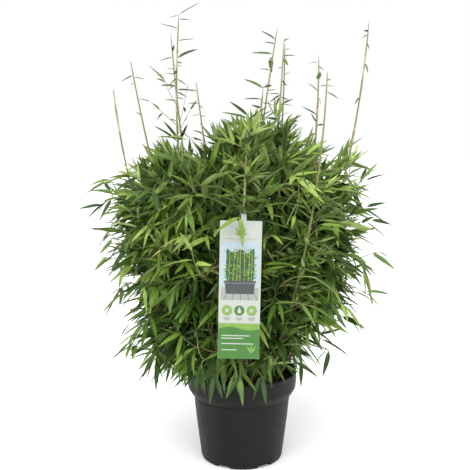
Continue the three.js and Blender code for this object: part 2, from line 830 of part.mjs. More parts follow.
function makeLabel(cane) {
  const collarZ = LABEL_TOP + 14;
  let share = 0;
  while (onCane(cane, share).point.z < collarZ) share += 0.001;
  const { point: centre, tangent, radius } = onCane(cane, share);
  const inner = radius + 2 * CLEAR;
  const half = COLLAR_HEIGHT / 2;
  const profile = [
    [inner, -half],
    [inner + COLLAR_WALL, -half],
    [inner + COLLAR_WALL, half],
    [inner, half],
    [inner, -half],
  ].map(([radius, y]) => new THREE.Vector2(radius, y));
  const collar = new THREE.LatheGeometry(profile, 12);
  const turn = new THREE.Quaternion().setFromUnitVectors(new THREE.Vector3(0, 1, 0), tangent);
  collar.applyQuaternion(turn).translate(centre.x, centre.y, centre.z);

  const back = centre.y - inner - COLLAR_WALL / 2;
  const run = back - LABEL_FRONT;
  const arm = new THREE.BoxGeometry(TONGUE_WIDTH, run, COLLAR_WALL);
  arm.translate(centre.x, LABEL_FRONT + run / 2, collarZ);
  const drop = new THREE.BoxGeometry(TONGUE_WIDTH, LABEL_THICKNESS, collarZ - LABEL_TOP + 8);
  drop.translate(centre.x, LABEL_FRONT + LABEL_THICKNESS / 2, (collarZ + LABEL_TOP) / 2 - 4);

  const plate = roundedPlate(LABEL_WIDTH, LABEL_HEIGHT, LABEL_THICKNESS, LABEL_CORNER);
  plate.translate(0, LABEL_THICKNESS, -LABEL_HEIGHT);
  plate.rotateY(LABEL_TILT);
  plate.translate(LABEL_X, LABEL_FRONT, LABEL_TOP);
  return joined([plate, collar, arm, drop].map(solidOf));
}

// Assembly

const plant = new THREE.Group();
const potGroup = new THREE.Group();
potGroup.add(meshOf("pot", makePot(), MATERIALS.pot));
potGroup.add(meshOf("soil", makeSoil(), MATERIALS.soil));
plant.add(potGroup);

const tallCanes = planTallCanes();
tallCanes.forEach((cane, i) => {
  const before = tallCanes.slice(0, i).flatMap((c) => c.pieces);
  if (crosses(cane.pieces, before)) throw new Error(`cane ${cane.name} meets another`);
});
const masses = planMasses();
const shortCanes = [];
for (const mass of masses.filter((m) => m.tier.stem === "tip")) {
  const standing = [...tallCanes, ...shortCanes].flatMap((c) => c.pieces);
  mass.cane = planShortCane(mass, standing);
  shortCanes.push(mass.cane);
}
const canes = [...tallCanes, ...shortCanes];
const plan = {
  canes,
  masses,
  middleCanes: shortCanes.filter((cane) => cane.name.startsWith("middle")),
  sprayLeaves: tallCanes.map(() => []), // for each spray, the leaves of the others
};
for (const cane of canes) {
  const { path, rootRadius, tipRadius } = cane;
  const steps = CANE_STEPS + STEM_STEPS;
  cane.guard = limb(path, rootRadius + GUARD, tipRadius + GUARD, CANE_SIDES, steps);
}

const caneGroup = new THREE.Group();
for (const cane of canes)
  caneGroup.add(meshOf(`cane_${cane.name}`, caneSolid(cane), MATERIALS.cane));
plant.add(caneGroup);

const foliageGroup = new THREE.Group();
for (const mass of masses)
  foliageGroup.add(meshOf(mass.name, growMass(mass, plan), MATERIALS.foliage));
tallCanes.forEach((cane, i) => {
  if (cane.leaves)
    foliageGroup.add(
      meshOf(`spray_${cane.name}`, growSpray(cane, plan, i), MATERIALS.foliage),
    );
});
plant.add(foliageGroup);

const labelCane = tallCanes.find((cane) => cane.name === "label_cane");
plant.add(meshOf("label", makeLabel(labelCane), MATERIALS.label));

export default plant;
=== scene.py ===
"""A potted bamboo in a dark nursery pot, dressed for a soft white studio.

The plant is grown in millimetres by the rules of its solids: canes fan out from the soil, short
canes end at the stems of the foliage masses, and each mass fills its own share of the crown with
twigs that end in fans of leaves. Every finished mesh is written in metres, in the part's frame.
"""

from __future__ import annotations

import bisect
import json
import logging
import math
from dataclasses import dataclass, field
from enum import Enum
from typing import Iterable, Sequence

import bmesh
import bpy
import numpy as np
from mathutils import Matrix, Quaternion, Vector, noise

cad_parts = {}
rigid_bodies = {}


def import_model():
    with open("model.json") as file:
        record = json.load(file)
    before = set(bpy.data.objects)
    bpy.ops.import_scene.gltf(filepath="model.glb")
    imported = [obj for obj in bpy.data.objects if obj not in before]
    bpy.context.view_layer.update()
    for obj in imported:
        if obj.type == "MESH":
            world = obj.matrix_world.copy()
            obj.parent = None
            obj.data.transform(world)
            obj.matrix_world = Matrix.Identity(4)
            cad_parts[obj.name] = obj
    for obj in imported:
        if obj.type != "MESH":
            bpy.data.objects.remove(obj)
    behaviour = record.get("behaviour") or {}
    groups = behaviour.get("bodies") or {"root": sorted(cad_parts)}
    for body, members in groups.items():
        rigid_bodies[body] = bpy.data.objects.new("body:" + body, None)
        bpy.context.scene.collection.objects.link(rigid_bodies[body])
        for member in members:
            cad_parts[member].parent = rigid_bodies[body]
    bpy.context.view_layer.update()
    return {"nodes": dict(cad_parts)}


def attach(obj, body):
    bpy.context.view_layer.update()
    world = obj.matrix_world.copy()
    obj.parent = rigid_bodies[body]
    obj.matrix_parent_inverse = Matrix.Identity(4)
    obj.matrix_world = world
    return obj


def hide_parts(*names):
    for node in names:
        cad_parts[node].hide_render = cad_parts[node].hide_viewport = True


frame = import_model()

log = logging.getLogger("bamboo")

MM = 0.001
UP = Vector((0, 0, 1))
BODY = "root"
WORD_MASK = 0xFFFFFFFF

Colour = tuple[float, float, float, float]
Span = tuple[float, float]
Row = tuple[float, ...]
Outline = Sequence[Span]
Points = Vector | np.ndarray
Shape = bmesh.types.BMesh
Mesh = bpy.types.Mesh
Piece = bpy.types.Object
Material = bpy.types.Material
Socket = bpy.types.NodeSocket
Edges = list[bmesh.types.BMEdge]


# Small tools


def paint(red: int, green: int, blue: int) -> Colour:
    """A screen colour of 0 to 255 a channel, as the linear colour that shaders use."""
    channels = [value / 255 for value in (red, green, blue)]
    linear = [c / 12.92 if c <= 0.04045 else ((c + 0.055) / 1.055) ** 2.4 for c in channels]
    return (*linear, 1.0)


def shaded(colour: Colour, factor: float, lift: float = 0.0) -> Colour:
    """A colour whose channels are scaled and lifted, and stay at 1 at most."""
    return (*[min(1.0, channel * factor + lift) for channel in colour[:3]], 1.0)


def lerp(low: float, high: float, share: float) -> float:
    """The value at a share of the way from low to high."""
    return low + (high - low) * share


def clamp(value: float, low: float = 0.0, high: float = 1.0) -> float:
    """The value kept between low and high."""
    return max(low, min(high, value))


def polar(radius: float, azimuth: float, z: float) -> Vector:
    """A point at a radius from the pot's axis, in a direction in radians, at height z."""
    return Vector((radius * math.cos(azimuth), radius * math.sin(azimuth), z))


def turned(vector: Vector, axis: Vector, angle: float) -> Vector:
    """The vector turned about an axis by an angle in radians."""
    return Quaternion(axis, angle) @ vector


def bowed(start: Points, pull: Points, end: Points, share: float | np.ndarray) -> Points:
    """The place at a share of a curve from start to end that a third point pulls aside."""
    left = 1 - share
    return left**2 * start + 2 * share * left * pull + share * share * end


class Dice:
    """Seeded random numbers from 0 to 1, by the rule of the part's source."""

    def __init__(self, seed: int) -> None:
        """Starts the row of numbers that belongs to the seed."""
        self.state = seed & WORD_MASK

    def __call__(self) -> float:
        """The next number of the row."""
        self.state = (self.state + 0x6D2B79F5) & WORD_MASK
        t = self.state
        t = ((t ^ (t >> 15)) * (t | 1)) & WORD_MASK
        t ^= (t + ((t ^ (t >> 7)) * (t | 61))) & WORD_MASK
        return ((t ^ (t >> 14)) & WORD_MASK) / (WORD_MASK + 1)

    def between(self, low: float, high: float) -> float:
        """The next number, spread from low to high."""
        return lerp(low, high, self())

    def around(self, half: float) -> float:
        """The next number, spread evenly about zero by half to each side."""
        return half * (2 * self() - 1)


class Path:
    """A line through space that is read by the share of its length."""

    def __init__(self, points: Sequence[Vector]) -> None:
        """Measures the line through the points."""
        self.points = [Vector(p) for p in points]
        self.marks = [0.0]
        for a, b in zip(self.points, self.points[1:]):
            self.marks.append(self.marks[-1] + (b - a).length)
        self.length = self.marks[-1]

    @classmethod
    def pulled(cls, start: Vector, pull: Vector, end: Vector, steps: int = 40) -> "Path":
        """A curve from start to end that a third point pulls aside, in straight steps."""
        return cls([bowed(start, pull, end, i / steps) for i in range(steps + 1)])

    @classmethod
    def through(cls, knots: Sequence[Vector]) -> "Path":
        """A smooth curve that runs through the knots.

        Args:
            knots: the points that it passes.

        Returns:
            The path.
        """
        steps = 8
        ends = [2 * knots[0] - knots[1], *knots, 2 * knots[-1] - knots[-2]]
        points = []
        for a, b, c, d in zip(ends, ends[1:], ends[2:], ends[3:]):
            for i in range(steps):
                t = i / steps
                bend = (2 * a - 5 * b + 4 * c - d) * t * t + (3 * b - a - 3 * c + d) * t**3
                points.append(0.5 * (2 * b + (c - a) * t + bend))
        return cls([*points, knots[-1]])

    def at(self, share: float) -> Vector:
        """The point at a share of the length."""
        mark = clamp(share) * self.length
        i = clamp(bisect.bisect_right(self.marks, mark) - 1, 0, len(self.points) - 2)
        span = self.marks[i + 1] - self.marks[i]
        return self.points[i].lerp(self.points[i + 1], (mark - self.marks[i]) / span)

    def direction(self, share: float) -> Vector:
        """The way the line runs at a share of its length."""
        reach = 0.01
        low = clamp(share - reach)
        return (self.at(clamp(low + 2 * reach)) - self.at(low)).normalized()

    def share_at_height(self, z: float) -> float:
        """The share of the length at which a rising line passes a height.

        Args:
            z: the height.

        Returns:
            The share, from 0 to 1.
        """
        low, high = 0.0, 1.0
        for _ in range(24):
            middle = (low + high) / 2
            if self.at(middle).z < z:
                low = middle
            else:
                high = middle
        return low


def sideways(direction: Vector) -> Vector:
    """A unit vector that stands square to a direction."""
    helper = Vector((1, 0, 0)) if abs(direction.x) < 0.8 else Vector((0, 1, 0))
    return direction.cross(helper).normalized()


# Pieces and their meshes


def placed(name: str, data: bpy.types.ID) -> Piece:
    """A new object in the scene, which shows a mesh, a light or a camera."""
    item = bpy.data.objects.new(name, data)
    bpy.context.scene.collection.objects.link(item)
    return item


def finish_piece(
    mesh: Mesh,
    name: str,
    materials: Sequence[Material],
    nodes: Iterable[str] = (),
    crease: float = 40,
) -> Piece:
    """Shows a finished mesh as a piece of the plant.

    Args:
        mesh: the mesh, in metres.
        name: the piece's name.
        materials: its materials, in the order that its faces count them.
        nodes: the solids that it stands for.
        crease: edges bent by more than these degrees stay sharp. At 0 the mesh has its own.

    Returns:
        The piece.
    """
    mesh.name = name
    for material in materials:
        mesh.materials.append(material)
    mesh.polygons.foreach_set("use_smooth", np.ones(len(mesh.polygons), dtype=bool))
    if crease:
        mesh.set_sharp_from_angle(angle=math.radians(crease))
    piece = placed(name, mesh)
    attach(piece, BODY)
    if nodes:
        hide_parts(*nodes)
    log.info("%s: %d faces", name, len(mesh.polygons))
    return piece


def emptied(shape: Shape, name: str) -> Mesh:
    """A new mesh that takes over all of a shape. The shape is used up."""
    mesh = bpy.data.meshes.new(name)
    shape.to_mesh(mesh)
    shape.free()
    return mesh


def mesh_of(shape: Shape) -> Mesh:
    """The mesh, in metres, of a shape that was modelled in millimetres. The shape is used up."""
    bmesh.ops.scale(shape, vec=Vector((MM, MM, MM)), verts=shape.verts)
    return emptied(shape, "made")


def close_up(shape: Shape, gap: float = 1e-4) -> None:
    """Merges points that lie together, and turns every face outwards."""
    bmesh.ops.remove_doubles(shape, verts=shape.verts, dist=gap)
    bmesh.ops.recalc_face_normals(shape, faces=shape.faces)


def only(made: dict, kind: type) -> list:
    """The items of one kind among all that an operator made."""
    return [item for item in made["geom"] if isinstance(item, kind)]


def add_box(
    shape: Shape, size: Sequence[float], middle: Sequence[float], turn: float = 0.0
) -> Edges:
    """Adds a box.

    Args:
        shape: the shape that it is added to.
        size: its sizes along X, Y and Z.
        middle: where its middle is before the turn.
        turn: the angle in radians by which it is then turned about the vertical axis.

    Returns:
        Its edges.
    """
    place = Matrix.Rotation(turn, 4, "Z") @ Matrix.Translation(middle)
    made = bmesh.ops.create_cube(shape, size=1, matrix=place @ Matrix.Diagonal((*size, 1)))
    return list({edge for vert in made["verts"] for edge in vert.link_edges})


def edges_along(shape: Shape, axis: int) -> Edges:
    """The edges of a shape that run more than half a unit along an axis: 0, 1 or 2 for X, Y, Z."""
    return [e for e in shape.edges if abs(e.verts[0].co[axis] - e.verts[1].co[axis]) > 0.5]


def round_edges(shape: Shape, edges: Edges, size: float, steps: int) -> None:
    """Rounds some edges of a shape, by a size over each side and in so many flat steps."""
    how = {"offset_type": "OFFSET", "affect": "EDGES", "profile": 0.5, "material": -1}
    bmesh.ops.bevel(shape, geom=edges, offset=size, segments=steps, **how)


def softened(outline: Outline, size: float, steps: int) -> list[Span]:
    """An outline whose inner corners are rounded.

    Args:
        outline: radius and height of its corners.
        size: how far a rounding reaches along a side, up to a little under half of it.
        steps: straight pieces in a rounding.

    Returns:
        Radius and height of its points.
    """
    most = 0.45
    corners = [Vector((radius, 0, z)) for radius, z in outline]
    points = [corners[0]]
    for a, b, c in zip(corners, corners[1:], corners[2:]):
        back, ahead = a - b, c - b
        start = b + back.normalized() * min(size, most * back.length)
        end = b + ahead.normalized() * min(size, most * ahead.length)
        points += Path.pulled(start, b, end, steps).points
    return [(point.x, point.z) for point in (*points, corners[-1])]


def spun(outline: Outline, steps: int) -> Shape:
    """The closed shape that an outline draws as it turns once about the vertical axis.

    Args:
        outline: radius and height of its points.
        steps: flat sides in a turn.

    Returns:
        The shape.
    """
    shape = bmesh.new()
    verts = [shape.verts.new((radius, 0, z)) for radius, z in outline]
    edges = [shape.edges.new(pair) for pair in zip(verts, verts[1:])]
    bmesh.ops.spin(
        shape,
        geom=[*verts, *edges],
        cent=(0, 0, 0),
        axis=UP,
        angle=math.tau,
        steps=steps,
        use_merge=True,
    )
    close_up(shape, 1e-3)
    return shape


@dataclass
class Ring:
    """One ring of a tube: where it lies, how wide it is, and what its surface carries.

    The lift is how far the ring rises along the tube where it faces, and less on its way round.
    """

    centre: Vector
    direction: Vector
    radius: float
    age: float = 0.0
    scar: float = 0.0
    lift: float = 0.0
    facing: float = 0.0


def add_tube(shape: Shape, rings: Sequence[Ring], sides: int, closed: bool = False) -> None:
    """Adds a tube that runs through the rings: a grid bent round a path, and closed at its ends.

    Args:
        shape: the shape that it is added to.
        rings: the rings in order.
        sides: flat sides round the tube.
        closed: the last ring lies on the first, so there are no ends.
    """
    age = shape.verts.layers.float.get("age") or shape.verts.layers.float.new("age")
    scar = shape.verts.layers.float.get("scar") or shape.verts.layers.float.new("scar")
    uv = shape.loops.layers.uv.verify()
    made = bmesh.ops.create_grid(shape, x_segments=sides, y_segments=len(rings) - 1, size=0.5)
    verts = made["verts"]
    place = {vert: (vert.co.x + 0.5, vert.co.y + 0.5) for vert in verts}
    for face in {face for vert in verts for face in vert.link_faces}:
        for loop in face.loops:
            loop[uv].uv = place[loop.vert]
    side = sideways(rings[0].direction)
    frames = []
    for ring in rings:
        side = (side - ring.direction * side.dot(ring.direction)).normalized()
        frames.append((side, ring.direction.cross(side)))
    for vert, (around, along) in place.items():
        number = round(along * (len(rings) - 1))
        ring = rings[number]
        angle = around * math.tau
        across, depth = frames[number]
        out = across * math.cos(angle) + depth * math.sin(angle)
        vert.co = ring.centre + out * ring.radius
        if ring.lift:
            tongue = (0.5 + 0.5 * math.cos(angle - ring.facing)) ** 2
            vert.co += ring.direction * (ring.lift * tongue)
        vert[age] = ring.age
        vert[scar] = ring.scar
    bmesh.ops.remove_doubles(shape, verts=verts, dist=1e-4)
    if not closed:
        mine = [v for v in verts if v.is_valid]
        rims = {e for v in mine for e in v.link_edges if e.is_boundary}
        bmesh.ops.holes_fill(shape, edges=list(rims), sides=sides + 1)


@dataclass
class Stencil:
    """A small shape whose parts are kept as arrays, so that a joined piece can repeat it."""

    points: np.ndarray
    corners: np.ndarray
    starts: np.ndarray
    edges: np.ndarray
    corner_edges: np.ndarray
    sharp: np.ndarray
    slots: np.ndarray
    uvs: np.ndarray

    @classmethod
    def of(cls, shape: Shape) -> "Stencil":
        """Reads a modelled shape into arrays, and frees the shape.

        Args:
            shape: the shape.

        Returns:
            Its parts as arrays.
        """
        for items in (shape.verts, shape.edges, shape.faces):
            items.index_update()
        uv = shape.loops.layers.uv.verify()
        loops = [loop for face in shape.faces for loop in face.loops]
        sizes = [len(face.loops) for face in shape.faces]
        stencil = cls(
            points=np.array([vert.co[:] for vert in shape.verts]),
            corners=np.array([loop.vert.index for loop in loops]),
            starts=np.concatenate([[0], np.cumsum(sizes)[:-1]]),
            edges=np.array([[vert.index for vert in edge.verts] for edge in shape.edges]),
            corner_edges=np.array([loop.edge.index for loop in loops]),
            sharp=np.array([not edge.smooth for edge in shape.edges]),
            slots=np.array([face.material_index for face in shape.faces]),
            uvs=np.array([loop[uv].uv[:] for loop in loops]),
        )
        shape.free()
        return stencil

    def repeated(self, points: np.ndarray) -> Mesh:
        """One mesh that repeats the shape.

        Args:
            points: the points of each copy, in millimetres, as copies by points by three.

        Returns:
            The joined mesh, in metres.
        """
        copies, count = points.shape[:2]
        number = np.arange(copies)[:, None]
        mesh = bpy.data.meshes.new("made")
        mesh.vertices.add(copies * count)
        mesh.vertices.foreach_set("co", (points * MM).astype(np.float32).ravel())
        mesh.edges.add(copies * len(self.edges))
        mesh.loops.add(copies * len(self.corners))
        mesh.polygons.add(copies * len(self.starts))
        for items, name, values in (
            (mesh.edges, "vertices", self.edges.ravel() + number * count),
            (mesh.loops, "vertex_index", self.corners + number * count),
            (mesh.loops, "edge_index", self.corner_edges + number * len(self.edges)),
            (mesh.polygons, "loop_start", self.starts + number * len(self.corners)),
            (mesh.polygons, "material_index", np.tile(self.slots, copies)),
        ):
            items.foreach_set(name, values.astype(np.int32).ravel())
        layer = mesh.uv_layers.new(name="UVMap")
        layer.data.foreach_set("uv", np.tile(self.uvs.ravel(), copies).astype(np.float32))
        sharp = mesh.attributes.new("sharp_edge", "BOOLEAN", "EDGE")
        sharp.data.foreach_set("value", np.tile(self.sharp, copies))
        mesh.update()
        return mesh


# Finishes


class Recipe:
    """A procedural material in the making: a surface, and the patterns that feed it."""

    def __init__(self, name: str) -> None:
        """Starts a material with a plain surface."""
        self.material = bpy.data.materials.new(name)
        self.material.use_nodes = True
        self.nodes = self.material.node_tree.nodes
        self.links = self.material.node_tree.links
        self.surface = self.nodes["Principled BSDF"]
        self.place = self.nodes.new("ShaderNodeTexCoord")

    def join(self, source: Socket, target: Socket) -> None:
        """Feeds one socket from another."""
        self.links.new(source, target)

    def noise(
        self,
        scale: float,
        detail: float = 3.0,
        stretch: Row = (1, 1, 1),
        by: str = "Object",
    ) -> Socket:
        """A cloudy pattern.

        Args:
            scale: patches to the metre, or to the width of the UV map.
            detail: how many finer layers it has.
            stretch: a factor for each axis.
            by: the coordinates that it lies on.

        Returns:
            The pattern's value socket.
        """
        mapping = self.nodes.new("ShaderNodeMapping")
        mapping.inputs["Scale"].default_value = stretch
        self.join(self.place.outputs[by], mapping.inputs["Vector"])
        cloud = self.nodes.new("ShaderNodeTexNoise")
        cloud.inputs["Scale"].default_value = scale
        cloud.inputs["Detail"].default_value = detail
        self.join(mapping.outputs["Vector"], cloud.inputs["Vector"])
        return cloud.outputs["Fac"]

    def attribute(self, name: str) -> Socket:
        """The value that the piece's points carry under a name."""
        reader = self.nodes.new("ShaderNodeAttribute")
        reader.attribute_name = name
        return reader.outputs["Fac"]

    def axis(self, by: str, axis: str) -> Socket:
        """One axis, by its letter, of the coordinates that a pattern may lie on."""
        split = self.nodes.new("ShaderNodeSeparateXYZ")
        self.join(self.place.outputs[by], split.inputs[0])
        return split.outputs[axis]

    def ramp(self, value: Socket, *stops: tuple[float, Colour]) -> Socket:
        """Turns a value into colours.

        Args:
            value: the socket that is read.
            stops: places from 0 to 1, each with its colour.

        Returns:
            The colour socket.
        """
        node = self.nodes.new("ShaderNodeValToRGB")
        elements = node.color_ramp.elements
        while len(elements) < len(stops):
            elements.new(0.5)
        for element, (position, colour) in zip(elements, stops):
            element.position = position
            element.color = colour
        self.join(value, node.inputs["Fac"])
        return node.outputs["Color"]

    def grade(self, value: Socket, span: Span, to: Span = (0, 1)) -> Socket:
        """Maps a value from one range to another, and keeps it there.

        Args:
            value: the socket that is read.
            span: the two ends of the first range.
            to: the two ends of the second.

        Returns:
            The mapped value.
        """
        node = self.nodes.new("ShaderNodeMapRange")
        for name, end in zip(("From Min", "From Max", "To Min", "To Max"), (*span, *to)):
            node.inputs[name].default_value = end
        self.join(value, node.inputs["Value"])
        return node.outputs["Result"]

    def blend(self, share: Socket, first: Socket | Colour, second: Socket | Colour) -> Socket:
        """Mixes two colours.

        Args:
            share: how much of the second colour shows.
            first: a colour, or the socket that gives it.
            second: a colour, or the socket that gives it.

        Returns:
            The mixed colour.
        """
        node = self.nodes.new("ShaderNodeMix")
        node.data_type = "RGBA"
        self.join(share, node.inputs["Factor"])
        for colour, socket in ((first, node.inputs[6]), (second, node.inputs[7])):
            if isinstance(colour, tuple):
                socket.default_value = colour
            else:
                self.join(colour, socket)
        return node.outputs[2]

    def bump(self, height: Socket, depth: float) -> Socket:
        """The normals of fine relief, from its pattern and its depth in millimetres."""
        node = self.nodes.new("ShaderNodeBump")
        node.inputs["Distance"].default_value = depth * MM
        self.join(height, node.inputs["Height"])
        return node.outputs["Normal"]

    def painted_shade_low(self, colour: Socket, shade_colour: Colour) -> Socket:
        """Blends a colour towards a painted shade low down, near the soil under the crown, over a
        span of heights in metres.
        """
        span, most = (0.24, 0.54), 0.9
        low = self.grade(self.axis("Object", "Z"), span, (most, 0))
        return self.blend(low, colour, shade_colour)

    def feed(self, **sockets: Socket | Colour | float) -> Material:
        """Feeds the surface and hands the material over.

        Args:
            sockets: what each socket of the surface gets, with _ for a space in its name.

        Returns:
            The material.
        """
        for name, value in sockets.items():
            socket = self.surface.inputs[name.replace("_", " ")]
            if isinstance(value, Socket):
                self.join(value, socket)
            else:
                socket.default_value = value
        return self.material


@dataclass(frozen=True)
class MouldedPlastic:
    """Charcoal recycled plastic with the fine grain of a cheap mould."""

    name: str = "pot_plastic"
    dark: Colour = paint(9, 9, 8)
    light: Colour = paint(18, 18, 16)
    rough: Span = (0.44, 0.6)
    grain: float = 0.12

    def material(self) -> Material:
        """The material."""
        recipe = Recipe(self.name)
        clouds = recipe.noise(scale=9, detail=5, stretch=(1, 1, 0.5))
        colour = recipe.ramp(clouds, (0.35, self.dark), (0.7, self.light))
        rough = recipe.grade(recipe.noise(scale=60, detail=4), (0.3, 0.7), to=self.rough)
        normal = recipe.bump(recipe.noise(scale=900, detail=2), self.grain)
        return recipe.feed(
            Base_Color=colour, Roughness=rough, Normal=normal, Specular_IOR_Level=0.22
        )


@dataclass(frozen=True)
class MoistSoil:
    """Dark growing medium of peat and bark."""

    name: str = "soil"
    dark: Colour = paint(26, 20, 16)
    light: Colour = paint(66, 50, 38)
    relief: float = 3.0

    def material(self) -> Material:
        """The material."""
        recipe = Recipe(self.name)
        crumbs = recipe.noise(scale=240, detail=6)
        colour = recipe.ramp(crumbs, (0.4, self.dark), (0.72, self.light))
        normal = recipe.bump(crumbs, self.relief)
        return recipe.feed(Base_Color=colour, Roughness=0.93, Normal=normal)


@dataclass(frozen=True)
class CaneBark:
    """Smooth cane: green where it is young, tan where it is old, with a pale ring at each node and
    painted shade low down near the soil.
    """

    name: str = "cane_bark"
    young: Colour = paint(98, 112, 56)
    fresh: Colour = paint(124, 130, 72)
    old: Colour = paint(128, 120, 74)
    aged: Colour = paint(100, 86, 56)
    # painted shade: the dark colour that the cane turns low down, near the soil
    painted_shade: Colour = paint(54, 42, 34)
    ring: Colour = paint(170, 154, 120)

    def material(self) -> Material:
        """The material."""
        recipe = Recipe(self.name)
        age = recipe.attribute("age")
        mottle = recipe.noise(scale=38, detail=4, stretch=(1, 1, 0.35))
        green = recipe.blend(mottle, self.young, self.fresh)
        tan = recipe.blend(recipe.grade(mottle, (0.35, 0.65)), self.old, self.aged)
        # painted shade near the soil, blended in by height
        body = recipe.painted_shade_low(recipe.blend(age, green, tan), self.painted_shade)
        colour = recipe.blend(recipe.attribute("scar"), body, self.ring)
        streaks = recipe.noise(scale=1400, detail=2, stretch=(1, 1, 0.06))
        normal = recipe.bump(streaks, depth=0.12)
        return recipe.feed(Base_Color=colour, Roughness=0.42, Normal=normal)


@dataclass(frozen=True)
class PaperySheath:
    """The papery sheath that wraps a length of cane, with painted shade low down near the soil."""

    name: str = "cane_sheath"
    pale: Colour = paint(184, 176, 132)
    brown: Colour = paint(132, 116, 82)
    # painted shade: the dark colour that the sheath turns low down, near the soil
    painted_shade: Colour = paint(78, 64, 46)

    def material(self) -> Material:
        """The material."""
        recipe = Recipe(self.name)
        fibres = recipe.noise(scale=14, stretch=(9, 1, 1), by="UV")
        patches = recipe.grade(recipe.noise(scale=22), (0.4, 0.6))
        body = recipe.blend(patches, self.pale, self.brown)
        streaks = recipe.grade(fibres, (0.3, 0.8), to=(0, 0.45))
        # painted shade near the soil, blended in by height
        colour = recipe.painted_shade_low(recipe.blend(streaks, body, self.brown), self.painted_shade)
        normal = recipe.bump(fibres, depth=0.2)
        return recipe.feed(Base_Color=colour, Roughness=0.7, Normal=normal)


@dataclass(frozen=True)
class TwigBark:
    """The thin green to straw-coloured skin of twigs."""

    name: str = "twig_bark"
    green: Colour = paint(104, 124, 60)
    straw: Colour = paint(148, 132, 90)

    def material(self) -> Material:
        """The material."""
        recipe = Recipe(self.name)
        patches = recipe.grade(recipe.noise(scale=16), (0.42, 0.62))
        colour = recipe.blend(patches, self.green, self.straw)
        return recipe.feed(Base_Color=colour, Roughness=0.55)


class LeafTone(Enum):
    """The tones of leaf, dealt out by fan, partly at random and partly as painted light and shade.
    Each has its name, upper colour and lower colour.
    """

    DEEP = ("deep", paint(48, 78, 20), paint(90, 118, 54))
    SHADE = ("shade", paint(92, 124, 46), paint(118, 144, 82))
    MID = ("mid", paint(120, 150, 60), paint(144, 164, 94))
    FRESH = ("fresh", paint(148, 174, 82), paint(162, 182, 108))
    LIGHT = ("light", paint(158, 188, 90), paint(172, 196, 118))
    STRAW = ("straw", paint(184, 168, 104), paint(188, 174, 122))


class BladeSide(Enum):
    """The two sides of a blade, each with its roughness and its shine."""

    UPPER = (0.36, 0.42)
    LOWER = (0.6, 0.2)


@dataclass(frozen=True)
class LeafBlade:
    """A thin blade, satin above and dull below, that lets some light through."""

    name: str
    colour: Colour
    side: BladeSide = BladeSide.UPPER
    drift: Span = (0.74, 1.3)
    rib_light: Colour = (0.55, 0.55, 0.55, 1.0)
    glow: float = 0.28

    def material(self) -> Material:
        """The material."""
        recipe = Recipe(self.name)
        deep, pale = (shaded(self.colour, factor) for factor in self.drift)
        patches = recipe.grade(recipe.noise(scale=34, detail=2), (0.3, 0.7))
        body = recipe.blend(patches, deep, pale)
        none = paint(0, 0, 0)
        middle = ((0.0, none), (0.44, none), (0.5, self.rib_light), (0.56, none))
        rib = recipe.ramp(recipe.axis("UV", "X"), *middle)
        colour = recipe.blend(rib, body, shaded(self.colour, 1.9, lift=0.02))
        veins = recipe.noise(scale=3, detail=1, stretch=(14, 0.2, 1), by="UV")
        rough, shine = self.side.value
        material = recipe.feed(
            Base_Color=colour,
            Roughness=rough,
            Specular_IOR_Level=shine,
            Normal=recipe.bump(veins, depth=0.25),
        )
        glow = recipe.nodes.new("ShaderNodeBsdfTranslucent")
        recipe.join(colour, glow.inputs["Color"])
        mix = recipe.nodes.new("ShaderNodeMixShader")
        mix.inputs["Fac"].default_value = self.glow
        recipe.join(recipe.surface.outputs["BSDF"], mix.inputs[1])
        recipe.join(glow.outputs["BSDF"], mix.inputs[2])
        output = recipe.nodes["Material Output"]
        recipe.join(mix.outputs["Shader"], output.inputs["Surface"])
        return material


@dataclass(frozen=True)
class PrintedCard:
    """Thin printed plastic in one ink, with a soft sheen and the faint grain of print."""

    name: str
    ink: Colour
    shift: float = 0.08
    patches: float = 60.0

    def material(self) -> Material:
        """The material."""
        recipe = Recipe(self.name)
        dim, lit = (shaded(self.ink, factor) for factor in (1 - self.shift, 1 + self.shift))
        colour = recipe.blend(recipe.noise(self.patches), dim, lit)
        normal = recipe.bump(recipe.noise(scale=2200, detail=1), depth=0.02)
        return recipe.feed(Base_Color=colour, Roughness=0.36, Normal=normal)


@dataclass(frozen=True)
class StudioPaper:
    """The pale floor."""

    name: str = "studio_paper"
    white: Colour = (0.93, 0.93, 0.93, 1.0)

    def material(self) -> Material:
        """The material."""
        return Recipe(self.name).feed(Base_Color=self.white, Roughness=0.9)


# The pot and its soil


